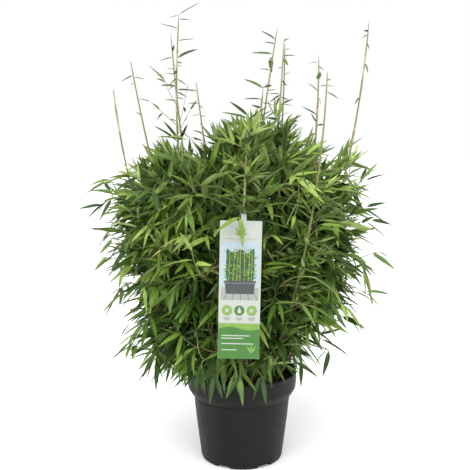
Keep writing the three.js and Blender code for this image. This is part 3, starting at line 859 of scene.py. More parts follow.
@dataclass
class Pot:
    """A round nursery pot with a swollen collar over a tapered body, and notches in its foot."""

    height: float = 226
    rim_radius: float = 140
    wall: float = 2.6
    floor: float = 3
    foot_radius: float = 99
    shoulder_height: float = 164
    shoulder_radius: float = 123
    belly_height: float = 105
    belly_radius: float = 117
    drain_count: int = 6
    drain_width: float = 36
    drain_height: float = 9
    drain_reach: float = 22
    drain_turn: float = math.radians(-117)
    drain_round: float = 2.5
    lip_round: float = 2.2
    steps: int = 160
    finish: MouldedPlastic = MouldedPlastic()

    def outside(self) -> list[Span]:
        """Radius and height of the outer wall's corners, from the foot to the rim."""
        foot, belly = self.foot_radius, self.belly_radius
        shoulder, rim = self.shoulder_radius, self.rim_radius
        z = self.shoulder_height
        return [
            (foot, 0),
            (foot + 3.4, 1.6),
            (foot + 5.4, 7),
            (belly, self.belly_height),
            (shoulder - 0.4, z - 3),
            (shoulder - 1.4, z - 1.5),
            (shoulder + 2, z + 1),
            (rim - 9, z + 9),
            (rim - 2.5, z + 20),
            (rim - 0.8, z + 32),
            (rim - 0.3, self.height - 9),
            (rim + 0.4, self.height - 7.5),
            (rim + 0.6, self.height - 1.2),
            (rim - 0.6, self.height),
        ]

    def inside(self) -> list[Span]:
        """Radius and height of the inner wall's corners, from the rim to the floor."""
        wall, z = self.wall, self.shoulder_height
        rim = self.rim_radius - wall
        return [
            (rim - 0.6, self.height),
            (rim - 1.4, z + 32),
            (rim - 3.4, z + 20),
            (rim - 10, z + 10),
            (self.shoulder_radius - wall, z + 3),
            (self.shoulder_radius - wall - 1.6, z - 4),
            (self.belly_radius - wall, self.belly_height),
            (self.foot_radius + 2.4, self.floor + 4),
            (self.foot_radius - 1, self.floor),
        ]

    def cut_drains(self, mesh: Mesh) -> Mesh:
        """Cuts the notches through the foot.

        Args:
            mesh: the whole pot, in metres.

        Returns:
            The pot with its notches.
        """
        cutters = bmesh.new()
        depth = self.drain_reach + 10
        middle = self.foot_radius - self.drain_reach + depth / 2
        size = (depth, self.drain_width, 2 * self.drain_height)
        for i in range(self.drain_count):
            turn = self.drain_turn + math.tau * i / self.drain_count
            edges = add_box(cutters, size, (middle, 0, 0), turn)
            upper = [e for e in edges if min(v.co.z for v in e.verts) > 0]
            round_edges(cutters, upper, self.drain_round, 3)
        knife, block = placed("knife", mesh_of(cutters)), placed("block", mesh)
        cut = block.modifiers.new("drains", "BOOLEAN")
        cut.operation = "DIFFERENCE"
        cut.solver = "EXACT"
        cut.object = knife
        graph = bpy.context.evaluated_depsgraph_get()
        whole = bpy.data.meshes.new_from_object(block.evaluated_get(graph))
        for item in (knife, block):
            bpy.data.objects.remove(item)
        return whole

    def build(self) -> Piece:
        """Spins the wall, cuts the drain notches and gives the pot its plastic."""
        outer, inner = (softened(w, self.lip_round, 3) for w in (self.outside(), self.inside()))
        wall = ((0, 0), *outer, *inner, (0, self.floor))
        mesh = self.cut_drains(mesh_of(spun(wall, self.steps)))
        return finish_piece(mesh, "pot_shell", [self.finish.material()], ["pot"], 32)


@dataclass
class Soil:
    """The growing medium: a rough bed, with chips of bark that lie on it."""

    top: float = 203
    shoulder: float = 6
    flat_radius: float = 116
    edge_radius: float = 133.2
    relief: float = 2.4
    lumps: tuple[Span, ...] = ((26, 1.0), (9, 0.5), (4, 0.3))
    sink: float = 1.2
    gap: float = 0.6
    rows: int = 34
    steps: int = 150
    chip_count: int = 1100
    chip_seed: int = 411
    chip_sizes: Span = (1.6, 5.2)
    chip_lean: float = 0.5
    finish: MoistSoil = MoistSoil()
    chip_finish: MoistSoil = MoistSoil("bark_chips", paint(48, 34, 25), paint(112, 84, 60), 1.0)

    def height_at(self, x: float, y: float) -> float:
        """Height of the bed's surface above the ground.

        Args:
            x: where it is read, to the right.
            y: where it is read, to the back.

        Returns:
            The height.
        """
        radius = math.hypot(x, y)
        fall = clamp((radius - self.flat_radius) / (self.edge_radius - self.flat_radius))
        rough = sum(share * noise.noise(Vector((x, y, 0)) / size) for size, share in self.lumps)
        smooth = self.top - self.shoulder * fall
        return smooth + self.relief * rough * (1 - 0.6 * fall) - self.sink

    def build(self, pot: Pot) -> tuple[Piece, Piece]:
        """Makes the bed that fills a pot, and its chips."""
        return self.build_bed(pot), self.build_chips()

    def build_bed(self, pot: Pot) -> Piece:
        """Spins the bed and roughens its top.

        Args:
            pot: the pot that it fills.

        Returns:
            The bed's piece.
        """
        wall = [(radius - self.gap, z + self.gap) for radius, z in reversed(pot.inside())]
        wall = [corner for corner in wall if corner[1] < self.top - self.shoulder - 1]
        across = [(self.edge_radius * (1 - i / self.rows), self.top) for i in range(self.rows)]
        shape = spun(((0, pot.floor + self.gap), *wall, *across, (0, self.top)), self.steps)
        for vert in shape.verts:
            if vert.co.z > self.top - 1e-3:
                vert.co.z = self.height_at(vert.co.x, vert.co.y)
        return finish_piece(mesh_of(shape), "soil_bed", [self.finish.material()], ["soil"])

    def build_chips(self) -> Piece:
        """Scatters flat chips of bark over the bed."""
        shape = bmesh.new()
        bmesh.ops.create_icosphere(shape, subdivisions=1, radius=1)
        for vert in shape.verts:
            vert.co *= 1 + 0.35 * noise.noise(vert.co * 1.7)
        stencil = Stencil.of(shape)
        dice = Dice(self.chip_seed)
        copies = []
        for _ in range(self.chip_count):
            spot = polar((self.edge_radius - 4) * math.sqrt(dice()), math.tau * dice(), 0)
            size = dice.between(*self.chip_sizes)
            spot.z = self.height_at(spot.x, spot.y) + 0.25 * size
            pitch, roll = dice.around(self.chip_lean), dice.around(self.chip_lean)
            lean = Matrix.Rotation(pitch, 3, "X") @ Matrix.Rotation(roll, 3, "Y")
            turn = Matrix.Rotation(math.tau * dice(), 3, "Z")
            form = Matrix.Diagonal((size, size * dice.between(0.35, 0.8), 0.4 * size))
            place = np.array(turn @ lean @ form)
            copies.append(stencil.points @ place.T + np.array(spot))
        mesh = stencil.repeated(np.array(copies))
        return finish_piece(mesh, "bark_chips", [self.chip_finish.material()])


# Canes


@dataclass
class ShootLeaf:
    """A leaf on a tall cane: its height there, or its share of a twig, and how it stands.

    The bearing and rise are in degrees. The width is a share of the length, as it looks from the
    camera. The blade is made half as wide again, because it lies at a slant there.
    """

    place: float
    bearing: float
    rise: float
    length: float
    width: float = 0.17
    tone: LeafTone | None = None


@dataclass
class TallCane:
    """A cane that rises clear of the crown: its bend and tip, its age, and what it carries.

    Sheaths are given by their heights, and the stretch with small fans by its two ends. A row of
    leaves holds the fields of a ShootLeaf. A twig is its height, its pull, its tip and its leaves.
    """

    name: str
    bend: Span
    tip: Row
    age: float
    sheaths: Row
    leafy: Span
    leaves: tuple[Row, ...] = ()
    twigs: tuple[tuple, ...] = ()


LEFT, RIGHT, FRONT = 180.0, 0.0, -90.0

TALL_CANES = (
    TallCane("far_left", (-271, -20), (-314, -20, 928), 0.95, (898, 845), (0, 0)),
    TallCane("left", (-206, 62), (-282, 60, 1007), 0.5, (980,), (680, 745), leaves=(
        (974, LEFT, -22, 34), (970, RIGHT, -10, 32, 0.12), (956, LEFT - 20, -20, 14),
        (872, LEFT, 40, 18, 0.12),
    )),
    TallCane("tallest", (-190, 0), (-154, 0, 1116), 0.55, (872,), (730, 780), leaves=(
        (1114, RIGHT, 29, 58, 0.1), (1112, LEFT, -10, 27, 0.12), (1102, RIGHT, 0, 28, 0.13),
        (1080, LEFT + 10, 17, 47, 0.11), (1051, RIGHT - 10, 10, 41, 0.13),
        (1009, RIGHT, 27, 56, 0.2), (1000, RIGHT - 50, -12, 24), (983, LEFT, 5, 26, 0.14),
        (980, FRONT, -30, 24), (961, LEFT, -42, 24), (959, RIGHT, -30, 28),
        (941, FRONT - 55, 4, 42, 0.25), (933, RIGHT, 2, 52, 0.2), (928, RIGHT - 15, -25, 30),
        (914, RIGHT + 25, -6, 22), (905, LEFT + 40, 10, 30), (806, LEFT, 38, 72, 0.14),
        (812, LEFT - 20, 50, 62, 0.12), (808, RIGHT, 62, 48, 0.28),
    ), twigs=(
        (822, (-146, -4, 850), (-128, -8, 884), (
            (1, RIGHT, 58, 30, 0.15), (0.55, RIGHT - 40, 40, 18),
        )),
        (832, (-146, 12, 880), (-138, 16, 934), (
            (0.6, RIGHT, -70, 14, 0.4), (1, RIGHT + 30, 75, 16),
        )),
        (846, (-196, -12, 876), (-226, -20, 904), (
            (1, LEFT, 14, 30, 0.14), (0.62, LEFT + 10, 44, 25, 0.32), (0.5, LEFT, -44, 22, 0.3),
            (0.25, RIGHT - 20, -14, 18, 0.25),
        )),
        (896, (-184, -26, 930), (-191, -40, 966), (
            (1, LEFT, -14, 16, 0.14), (0.8, LEFT - 10, 45, 58, 0.1),
            (0.75, FRONT - 60, 20, 26, 0.4),
        )),
    )),
    TallCane("tallest_twin", (-142, 47), (-179, 50, 1077), 0.3, (905,), (0, 0), leaves=(
        (1018, LEFT, -12, 36), (1032, RIGHT - 60, 55, 20), (996, RIGHT, 6, 22, 0.12),
        (975, LEFT, 12, 24), (948, LEFT + 30, -26, 22),
    )),
    TallCane("left_back", (-62, 95), (-119, 100, 962), 0.45, (), (690, 765), leaves=(
        (906, LEFT, 5, 30), (902, RIGHT, -40, 13), (877, LEFT, 0, 28, 0.12), (874, RIGHT, -5, 12),
        (828, LEFT, 22, 28),
    )),
    TallCane("centre_front", (4, -132), (48, -120, 931), 0.35, (838, 776), (690, 805), leaves=(
        (926, LEFT, 28, 50, 0.2), (928, RIGHT - 50, 6, 28, 0.42), (901, LEFT, 4, 44, 0.13),
        (893, RIGHT, -6, 30, 0.12), (880, LEFT - 30, 20, 30), (862, RIGHT - 20, 24, 34),
    )),
    TallCane("centre_back", (10, 86), (91, 80, 1097), 0.25, (), (760, 835), leaves=(
        (1066, LEFT, 35, 44, 0.2), (1055, LEFT - 10, 15, 33), (1030, LEFT, 4, 58, 0.17),
        (1024, LEFT - 60, -30, 26), (1018, LEFT - 70, -78, 34, 0.4), (989, LEFT, 10, 30, 0.13),
        (936, RIGHT, 18, 24),
    )),
    TallCane("centre", (78, -10), (103, 0, 1056), 0.3, (842,), (750, 850), leaves=(
        (1050, RIGHT, 35, 16, 0.3), (1014, RIGHT, 8, 30), (1008, RIGHT - 40, -48, 22, 0.3),
        (985, LEFT - 50, 10, 18), (956, RIGHT - 20, -48, 18, 0.3), (944, RIGHT, 4, 18),
        (922, LEFT, 4, 30, 0.2), (920, LEFT - 20, -28, 34, 0.22), (917, LEFT - 60, -52, 28, 0.26),
        (915, RIGHT - 30, -20, 26), (893, RIGHT, 32, 38, 0.18), (884, LEFT - 10, -26, 42),
        (868, RIGHT, 26, 28, 0.1), (858, LEFT - 40, 14, 40, 0.2),
    )),
    TallCane("centre_twin", (102, 46), (108, 42, 1052), 0.15, (), (770, 820), leaves=(
        (1036, RIGHT + 20, 10, 20, 0.1), (972, RIGHT - 30, 30, 20), (900, RIGHT, -4, 26, 0.1),
        (852, RIGHT, 14, 42, 0.12),
    )),
    TallCane("right_front", (180, -104), (177, -100, 1004), 0.3, (812,), (690, 765), leaves=(
        (988, LEFT, -5, 26, 0.1), (978, RIGHT, -36, 14, 0.34), (947, FRONT, 50, 22, 0.4),
        (920, LEFT, 43, 32, 0.16), (908, RIGHT, -60, 20, 0.14), (866, LEFT, 31, 42, 0.15),
        (850, LEFT - 30, 58, 26, 0.3), (842, RIGHT - 20, 4, 22, 0.3), (826, LEFT, -34, 32, 0.16),
    )),
    TallCane("right_low", (164, -262), (190, -160, 959), 0.6, (945,), (250, 700), leaves=(
        (928, LEFT, -2, 16, 0.16), (927, RIGHT, 2, 18, 0.14), (914, RIGHT - 10, -26, 32, 0.13),
        (938, RIGHT + 30, 30, 14, 0.12),
    )),
    TallCane("far_right", (283, 50), (319, 50, 1108), 0.6, (968, 812), (680, 750), leaves=(
        (1080, LEFT - 60, 30, 14, 0.5), (1074, LEFT, -30, 16, 0.3), (1053, RIGHT, -68, 16, 0.26),
        (1004, RIGHT, -68, 28, 0.26), (919, LEFT, -54, 22, 0.24),
    )),
    TallCane("label_cane", (-9, -310), (12, -200, 868), 0.1, (668,), (662, 830), leaves=(
        (857, LEFT, 42, 55, 0.17), (853, LEFT, 17, 61, 0.15), (850, RIGHT - 20, 35, 54, 0.18),
        (838, LEFT - 30, 10, 60, 0.18), (826, RIGHT, 5, 56, 0.18),
        (812, FRONT - 10, -20, 58, 0.2),
    ), twigs=(
        (676, (-2, -266, 678), (-8, -280, 642), (
            (1, LEFT + 14, -27, 68, 0.16, LeafTone.MID),
            (1, FRONT + 62, -80, 66, 0.14, LeafTone.MID), (0.7, RIGHT - 30, 4, 46, 0.16),
        )),
        (292, (-4, -178, 298), (-6, -196, 266), (
            (1, FRONT + 10, -66, 66, 0.13), (0.95, FRONT - 50, -52, 60, 0.13),
            (0.8, FRONT + 70, -46, 58, 0.13), (0.5, LEFT, -35, 50, 0.13),
        )),
        (284, (26, -160, 290), (46, -184, 262), (
            (1, FRONT + 25, -64, 64, 0.13), (0.95, FRONT - 40, -58, 58, 0.13),
            (0.75, RIGHT - 20, -42, 56, 0.13), (0.5, FRONT - 70, -50, 50, 0.13),
        )),
        (288, (-40, -165, 292), (-68, -180, 262), (
            (1, FRONT - 20, -64, 64, 0.13), (0.95, FRONT + 40, -58, 58, 0.13),
            (0.75, LEFT + 20, -42, 56, 0.13),
        )),
    )),
)


# Rings at a cane's node: their step along the cane, how far each swells, and how pale it is.
NODE_RINGS = (
    (-5, 0.0, 0.0), (-1.6, 0.08, 0.25), (-0.7, 0.3, 0.8), (0.1, 0.04, 0.1),
    (1.4, 0.24, 0.1), (3.4, 0.1, 0.0), (7, 0.0, 0.0),
)


@dataclass(frozen=True)
class Sheath:
    """The form of a papery sheath: its length, its tongue, and how far its walls stand off."""

    length: float = 62
    shortest: float = 12
    rise: float = 0.86
    peaks: Span = (6, 14)
    outer: Span = (0.35, 0.75)
    inner: Span = (0.1, 0.45)
    steps: int = 4
    sides: int = 8

    def rows(self) -> list[Span]:
        """Each ring's share of the height and its stand-off, up outside and then down inside."""
        up = [i / self.steps for i in range(self.steps + 1)]
        walls = ((self.outer, up), (self.inner, up[::-1]))
        return [(share, lerp(*wall, share**2)) for wall, shares in walls for share in shares]


@dataclass
class Culm:
    """One cane's surface: node rings along its path, and the sheaths that it keeps."""

    name: str
    path: Path
    root_radius: float
    tip_radius: float
    age: float
    sheath_heights: Row = ()
    node: str = ""
    sides: int = 10
    taper_end: float = 34
    sheath: Sheath = Sheath()
    first_node: float = 14
    widest_gap: float = 88
    old_height: float = 420
    old_fade: float = 260

    def radius_at(self, share: float) -> float:
        """The cane's radius at a share of its length, which runs out to a point at its tip."""
        blunt, roundness = 0.12, 0.6
        left = (1 - share) * self.path.length
        point = clamp(left / self.taper_end, blunt) ** roundness if self.taper_end else 1
        return lerp(self.root_radius, self.tip_radius, share) * point

    def node_marks(self) -> list[float]:
        """Distances from the foot to each node: close at the foot and near the tip."""
        marks = []
        mark = self.first_node
        while mark < self.path.length - 8:
            marks.append(mark)
            left = self.path.length - mark
            mark += min(22 + 0.16 * mark, self.widest_gap, 16 + 0.18 * left)
        return marks

    def ring(self, mark: float, swell: float, scar: float) -> Ring:
        """A ring at a distance from the foot.

        Args:
            mark: the distance.
            swell: the share by which it stands out from the plain cane.
            scar: how far it shows the pale colour of a node.

        Returns:
            The ring.
        """
        share = mark / self.path.length
        height = self.path.at(share).z
        older = 0.55 * clamp((self.old_height - height) / self.old_fade)
        age = clamp(self.age + older - 0.25 * share)
        radius = self.radius_at(share) * (1 + swell)
        return Ring(self.path.at(share), self.path.direction(share), radius, age, scar)

    def rings(self) -> list[Ring]:
        """All the rings, with a raised and grooved set at each node."""
        stops = [(0.0, 0.05, 0.0)]
        marks = self.node_marks()
        wide_room = 26
        for mark, ahead in zip(marks, [*marks[1:], self.path.length]):
            stops += [(mark + step, swell, scar) for step, swell, scar in NODE_RINGS]
            room = ahead - mark
            if room > wide_room:
                stops += [(mark + room * part, 0.0, 0.0) for part in (0.4, 0.65)]
        stops = [stop for stop in stops if stop[0] < self.path.length - 1]
        stops += [(self.path.length, 0.0, 0.0)]
        stops.sort()
        return [self.ring(*stop) for stop in stops]

    def build(self, material: Material) -> Piece:
        """Makes the cane's piece."""
        shape = bmesh.new()
        add_tube(shape, self.rings(), self.sides)
        close_up(shape)
        nodes = [self.node] if self.node else []
        return finish_piece(mesh_of(shape), f"culm_{self.name}", [material], nodes, 60)

    def add_sheaths(self, shape: Shape, dice: Dice) -> None:
        """Adds the sheaths: those at the named heights, and others by chance, more low down.

        Args:
            shape: the shape that gathers every cane's sheaths.
            dice: where the cane's chances come from.
        """
        marks = self.node_marks()
        chosen = {self.nearest_mark(marks, height): 1.0 for height in self.sheath_heights}
        often, seldom, small = 0.55, 0.16, 0.7
        for mark in marks:
            height = self.path.at(mark / self.path.length).z
            if dice() < (often if height < self.old_height else seldom):
                chosen.setdefault(mark, small)
        for mark, size in sorted(chosen.items()):
            self.add_sheath(shape, mark, size * dice.between(0.8, 1.1), dice)

    def nearest_mark(self, marks: Sequence[float], height: float) -> float:
        """The node's mark that lies nearest to a height."""
        wanted = self.path.share_at_height(height) * self.path.length
        return min(marks, key=lambda mark: abs(mark - wanted))

    def add_sheath(self, shape: Shape, mark: float, size: float, dice: Dice) -> None:
        """Wraps one sheath round the cane above a node.

        Args:
            shape: the shape that it is added to.
            mark: the node's distance from the foot.
            size: its length as a share of its full length.
            dice: where its chances come from.
        """
        length = min(self.sheath.length * size, self.path.length - mark - 3)
        if length < self.sheath.shortest:
            return
        facing = math.tau * dice()
        peak = dice.between(*self.sheath.peaks)
        rings = []
        for share, away in self.sheath.rows():
            ring = self.ring(mark + 1 + length * share * self.sheath.rise, 0.0, 0.0)
            ring.radius += away
            ring.lift, ring.facing = peak * share**3, facing
            rings.append(ring)
        add_tube(shape, [*rings, rings[0]], self.sheath.sides, closed=True)


def rings_of(node: str) -> list[Vector]:
    """The middles of the rings of a cane's solid, from its foot to its tip.

    Args:
        node: the solid's name.

    Returns:
        The middles in millimetres.
    """
    ring_width = 12
    solid = frame["nodes"][node].data
    points = {tuple(round(c / MM, 2) for c in v.co) for v in solid.vertices}
    groups: list[list[Vector]] = []
    for point in sorted((Vector(p) for p in points), key=lambda p: p.z):
        near = [g for g in groups if (g[0] - point).length < ring_width]
        if near:
            near[0].append(point)
        else:
            groups.append([point])
    middles = [sum(group, Vector()) / len(group) for group in groups]
    return sorted(middles, key=lambda p: p.z)


@dataclass
class Thicket:
    """The canes as straight pieces, for the tests of what would run into them."""

    rows: list[Row] = field(default_factory=list)
    table: np.ndarray | None = None

    def add(self, culm: Culm, pieces: int = 14) -> None:
        """Adds a cane, each piece as its start, its end and its radius."""
        for share, ahead in ((i / pieces, (i + 1) / pieces) for i in range(pieces)):
            self.rows.append((*culm.path.at(share), *culm.path.at(ahead), culm.radius_at(share)))
        self.table = None

    def clearance(self, points: Sequence[Vector]) -> float:
        """The least gap between the points and any cane's surface.

        Args:
            points: the points.

        Returns:
            The gap, below zero inside a cane.
        """
        if self.table is None:
            self.table = np.array(self.rows)
        starts, radii = self.table[:, :3], self.table[:, 6]
        runs = self.table[:, 3:6] - starts
        away = np.array([p[:] for p in points])[:, None, :] - starts
        share = np.clip((away * runs).sum(axis=2) / (runs**2).sum(axis=1), 0, 1)
        gaps = np.sqrt(((away - share[..., None] * runs) ** 2).sum(axis=2)) - radii
        return float(gaps.min())


@dataclass
class Clump:
    """All the canes: tall ones, short ones that end at a mass, and thin shoots at the foot."""

    soil: Soil
    foot_share: float = 0.3
    bend_height: float = 0.45
    tall_radii: Span = (4.2, 1.45)
    short_radii: Span = (3.4, 2.2)
    shoot_count: int = 46
    shoot_tries: int = 900
    shoot_feet: Span = (24, 96)
    shoot_tops: Span = (330, 560)
    shoot_slopes: Span = (0.2, 0.62)
    shoot_radii: Span = (1.5, 2.5)
    shoot_tip: float = 0.9
    shoot_gap: float = 4.5
    seed: int = 77
    sheath_seed: int = 91
    crease: float = 60
    bark: CaneBark = CaneBark()
    paper: PaperySheath = PaperySheath()
    tall: dict[str, Culm] = field(default_factory=dict)
    short: dict[str, Culm] = field(default_factory=dict)
    shoots: list[Culm] = field(default_factory=list)
    thicket: Thicket = field(default_factory=Thicket)

    def plan(self) -> None:
        """Works out every cane's path."""
        foot_z = self.soil.top - 2
        for row in TALL_CANES:
            foot = Vector((*[c * self.foot_share for c in row.bend], foot_z))
            tip = Vector(row.tip)
            pull = Vector((*row.bend, lerp(self.soil.top, tip.z, self.bend_height)))
            path = Path.pulled(foot, pull, tip)
            node = f"cane_{row.name}"
            culm = Culm(row.name, path, *self.tall_radii, row.age, row.sheaths, node)
            self.tall[row.name] = culm
            self.thicket.add(culm, 24)
        dice = Dice(self.seed)
        for node in sorted(frame["nodes"]):
            name = node.removeprefix("cane_")
            if node == name or name in self.tall:
                continue
            path = Path.through(rings_of(node))
            age = dice.between(0.2, 0.8)
            culm = Culm(name, path, *self.short_radii, age, (), node, taper_end=0)
            self.short[name] = culm
            self.thicket.add(culm)
        self.plan_shoots(dice)

    def plan_shoots(self, dice: Dice) -> None:
        """Adds thin shoots among the canes wherever there is room.

        Args:
            dice: where their chances come from.
        """
        tries = 0
        while len(self.shoots) < self.shoot_count and tries < self.shoot_tries:
            tries += 1
            azimuth = math.tau * dice()
            reach = dice.between(*self.shoot_feet)
            foot = polar(reach, azimuth, self.soil.top - 3)
            top = dice.between(*self.shoot_tops)
            lean = azimuth + dice.around(0.5)
            out = reach + (top - self.soil.top) * dice.between(*self.shoot_slopes)
            pull = polar(0.85 * out, lean, lerp(foot.z, top, 0.5))
            path = Path.pulled(foot, pull, polar(out, lean, top))
            if self.thicket.clearance([path.at(i / 24) for i in range(25)]) < self.shoot_gap:
                continue
            name = f"shoot_{len(self.shoots) + 1}"
            radius = dice.between(*self.shoot_radii)
            culm = Culm(name, path, radius, self.shoot_tip, dice.between(0.4, 1), sides=7)
            self.shoots.append(culm)
            self.thicket.add(culm, 8)

    def build(self) -> None:
        """Makes the canes' pieces, and one piece each for the thin shoots and the sheaths."""
        bark = self.bark.material()
        for culm in [*self.tall.values(), *self.short.values()]:
            culm.build(bark)
        shoots = bmesh.new()
        for culm in self.shoots:
            add_tube(shoots, culm.rings(), culm.sides)
        sheaths = bmesh.new()
        dice = Dice(self.sheath_seed)
        for culm in [*self.tall.values(), *self.short.values(), *self.shoots]:
            culm.add_sheaths(sheaths, dice)
        paper = self.paper.material()
        for shape, name, skin in ((shoots, "shoots_basal", bark), (sheaths, "cane_sheaths", paper)):
            close_up(shape)
            finish_piece(mesh_of(shape), name, [skin], (), self.crease)


# The crown's space


@dataclass(frozen=True)
class Envelope:
    """How far the leaves reach from the pot's axis: to the left, right, front and back."""

    heights: Row = (160, 200, 260, 340, 430, 520, 610, 690, 760, 820, 870, 905)
    left: Row = (244, 308, 346, 358, 368, 384, 406, 408, 326, 226, 112, 12)
    right: Row = (150, 178, 268, 322, 382, 390, 389, 374, 352, 312, 112, 12)
    front: Row = (165, 190, 246, 280, 302, 312, 312, 296, 246, 178, 92, 12)
    back: Row = (158, 205, 270, 312, 345, 362, 366, 352, 316, 250, 118, 12)
    sky_x: Row = (
        -300, -284, -225, -196, -172, -137, -108, -78, -49, -20,
        69, 98, 127, 157, 186, 270, 304, 330,
    )
    sky_z: Row = (
        758, 794, 792, 828, 838, 820, 800, 834, 876, 896,
        901, 867, 838, 820, 808, 806, 780, 742,
    )
    sky_steepness: float = 1.7
    tuft: float = 45
    tuft_swing: float = 0.45
    hem: float = 240
    hem_rise: float = 0.22
    hem_start: float = 120
    hem_steepness: float = 8
    loose_heights: Row = (260, 340, 430, 520, 610, 690, 760)
    loose_left: Row = (0, 12, 6, -16, -10, -4, -24)
    loose_right: Row = (40, 34, 30, 16, 12, -5, -5)
    loose_face: float = 10

    def reach(self, z: float, azimuth: float) -> float:
        """The reach at a height, in a direction in radians."""
        across, along = math.cos(azimuth), math.sin(azimuth)
        side = np.interp(z, self.heights, self.right if across > 0 else self.left)
        face = np.interp(z, self.heights, self.back if along > 0 else self.front)
        return float(side * across**2 + face * along**2)

    def depth(self, p: Vector) -> float:
        """How far inside the envelope a point lies. It is below zero outside."""
        if not self.heights[0] <= p.z <= self.heights[-1]:
            return -1.0
        return self.reach(p.z, math.atan2(p.y, p.x)) - math.hypot(p.x, p.y)

    def looseness(self, p: Vector) -> float:
        """How much further in than elsewhere the crown turns dense, by side and height."""
        share = p.x**2 / max(p.x**2 + p.y**2, 1)
        side = self.loose_right if p.x > 0 else self.loose_left
        return lerp(self.loose_face, float(np.interp(p.z, self.loose_heights, side)), share)

    def body_depth(self, p: Vector) -> float:
        """The depth below the outline and the skyline, uneven as the crown's tufts are."""
        sky = float(np.interp(p.x, self.sky_x, self.sky_z))
        wave = 1 + self.tuft_swing * noise.noise(p / self.tuft)
        side = self.depth(p) * wave - self.looseness(p)
        hem = self.hem + self.hem_rise * max(0.0, math.hypot(p.x, p.y) - self.hem_start)
        return min(side, self.sky_steepness * (sky - p.z), self.hem_steepness * (p.z - hem))


class StemRoot(Enum):
    """Where the stem of a tier's masses begins."""

    TIP = "tip"
    SIDE = "side"


@dataclass(frozen=True)
class Tier:
    """A storey of foliage masses, with the sizes of the part's source."""

    name: str
    count: int
    height: float
    reach: float
    turn: float
    root: StemRoot
    push: float
    lift: float


TIERS = (
    Tier("low", 7, 298, 0.68, -64, StemRoot.SIDE, 16, -12),
    Tier("middle", 7, 500, 0.66, -64, StemRoot.TIP, 30, 0),
    Tier("upper", 5, 688, 0.58, -54, StemRoot.TIP, 26, 34),
    Tier("crest", 1, 806, 0.05, 90, StemRoot.TIP, 0, 16),
)


@dataclass
class Mass:
    """One mass of foliage: its place in the crown and the seed of its growth."""

    name: str
    tier: Tier
    azimuth: float
    centre: Vector
    seed: int

    @property
    def outward(self) -> Vector:
        """The level direction from the pot's axis through the mass."""
        return polar(1, self.azimuth, 0)


@dataclass
class Limb:
    """A tapering twig from its root, bent by one pull, to its end."""

    root: Vector
    pull: Vector
    end: Vector
    root_radius: float
    end_radius: float

    def at(self, share: float) -> Vector:
        """The point at a share of the way."""
        return bowed(self.root, self.pull, self.end, share)

    def direction(self, share: float) -> Vector:
        """The way the twig runs at a share of the way."""
        first, second = self.pull - self.root, self.end - self.pull
        return first.lerp(second, share).normalized()

    def row(self) -> list[float]:
        """Its numbers in a row, for the joined piece."""
        return [*self.root, *self.pull, *self.end, self.root_radius, self.end_radius]


@dataclass
class Bud:
    """A place on a limb from which a twig may grow on."""

    place: Vector
    run: Vector
    level: int
    children: int = 0

    def cost(self, place: Vector) -> float:
        """How far a twig from here would run to a place, more if it has to turn back."""
        way = place - self.place
        turn = 1.3 - 0.5 * way.normalized().dot(self.run)
        return way.length * turn + 9 * self.children


@dataclass
class Leaf:
    """A leaf: its base and axes, its size, and how it bends and twists."""

    base: Vector
    along: Vector
    across: Vector
    face: Vector
    length: float
    width: float
    sag: float
    twist: float

    @property
    def droop(self) -> Vector:
        """The direction in which the blade bends under its own weight."""
        flip = 1 if self.face.z >= 0 else -1
        return (-self.face * flip - 0.35 * UP).normalized()

    def at(self, share: float, side: float = 0.0) -> Vector:
        """A point of the blade at a share of its length, to one side of the midrib."""
        spine = self.base + self.along * (share * self.length)
        spine += self.droop * (self.sag * self.length * share**2)
        return spine + self.across * (side * self.width)

    def row(self) -> list[float]:
        """Its numbers in a row, for the joined piece."""
        vectors = [*self.base, *self.along, *self.across, *self.face, *self.droop]
        return [*vectors, self.length, self.width, self.sag, self.twist]


def leaf_axes(along: Vector, roll: float) -> tuple[Vector, Vector]:
    """Across and face directions of a blade. Unrolled, it looks up and outward."""
    outward = polar(0.8, math.atan2(along.y, along.x), 0) + UP
    across = turned(along.cross(outward).normalized(), along, roll)
    return across, across.cross(along)


@dataclass
class LabelSpace:
    """The space in front of the label, which leaves keep out of."""

    x: float = -4
    width: float = 91
    top: float = 633
    height: float = 305
    front: float = -262
    depth: float = 6
    margin: float = 2

    def holds(self, p: Vector) -> bool:
        """True if the point is in front of the label, or in its plate."""
        return (
            abs(p.x - self.x) < self.width / 2 + self.margin
            and p.y < self.front + self.depth
            and self.top - self.height - self.margin < p.z < self.top + self.margin
        )


# Limits of a fan's painted shade, from 0 where the crown is painted brightest, each with its tone.
TONE_LIMITS = (
    (0.07, LeafTone.LIGHT),
    (0.27, LeafTone.FRESH),
    (0.53, LeafTone.MID),
    (0.82, LeafTone.SHADE),
)


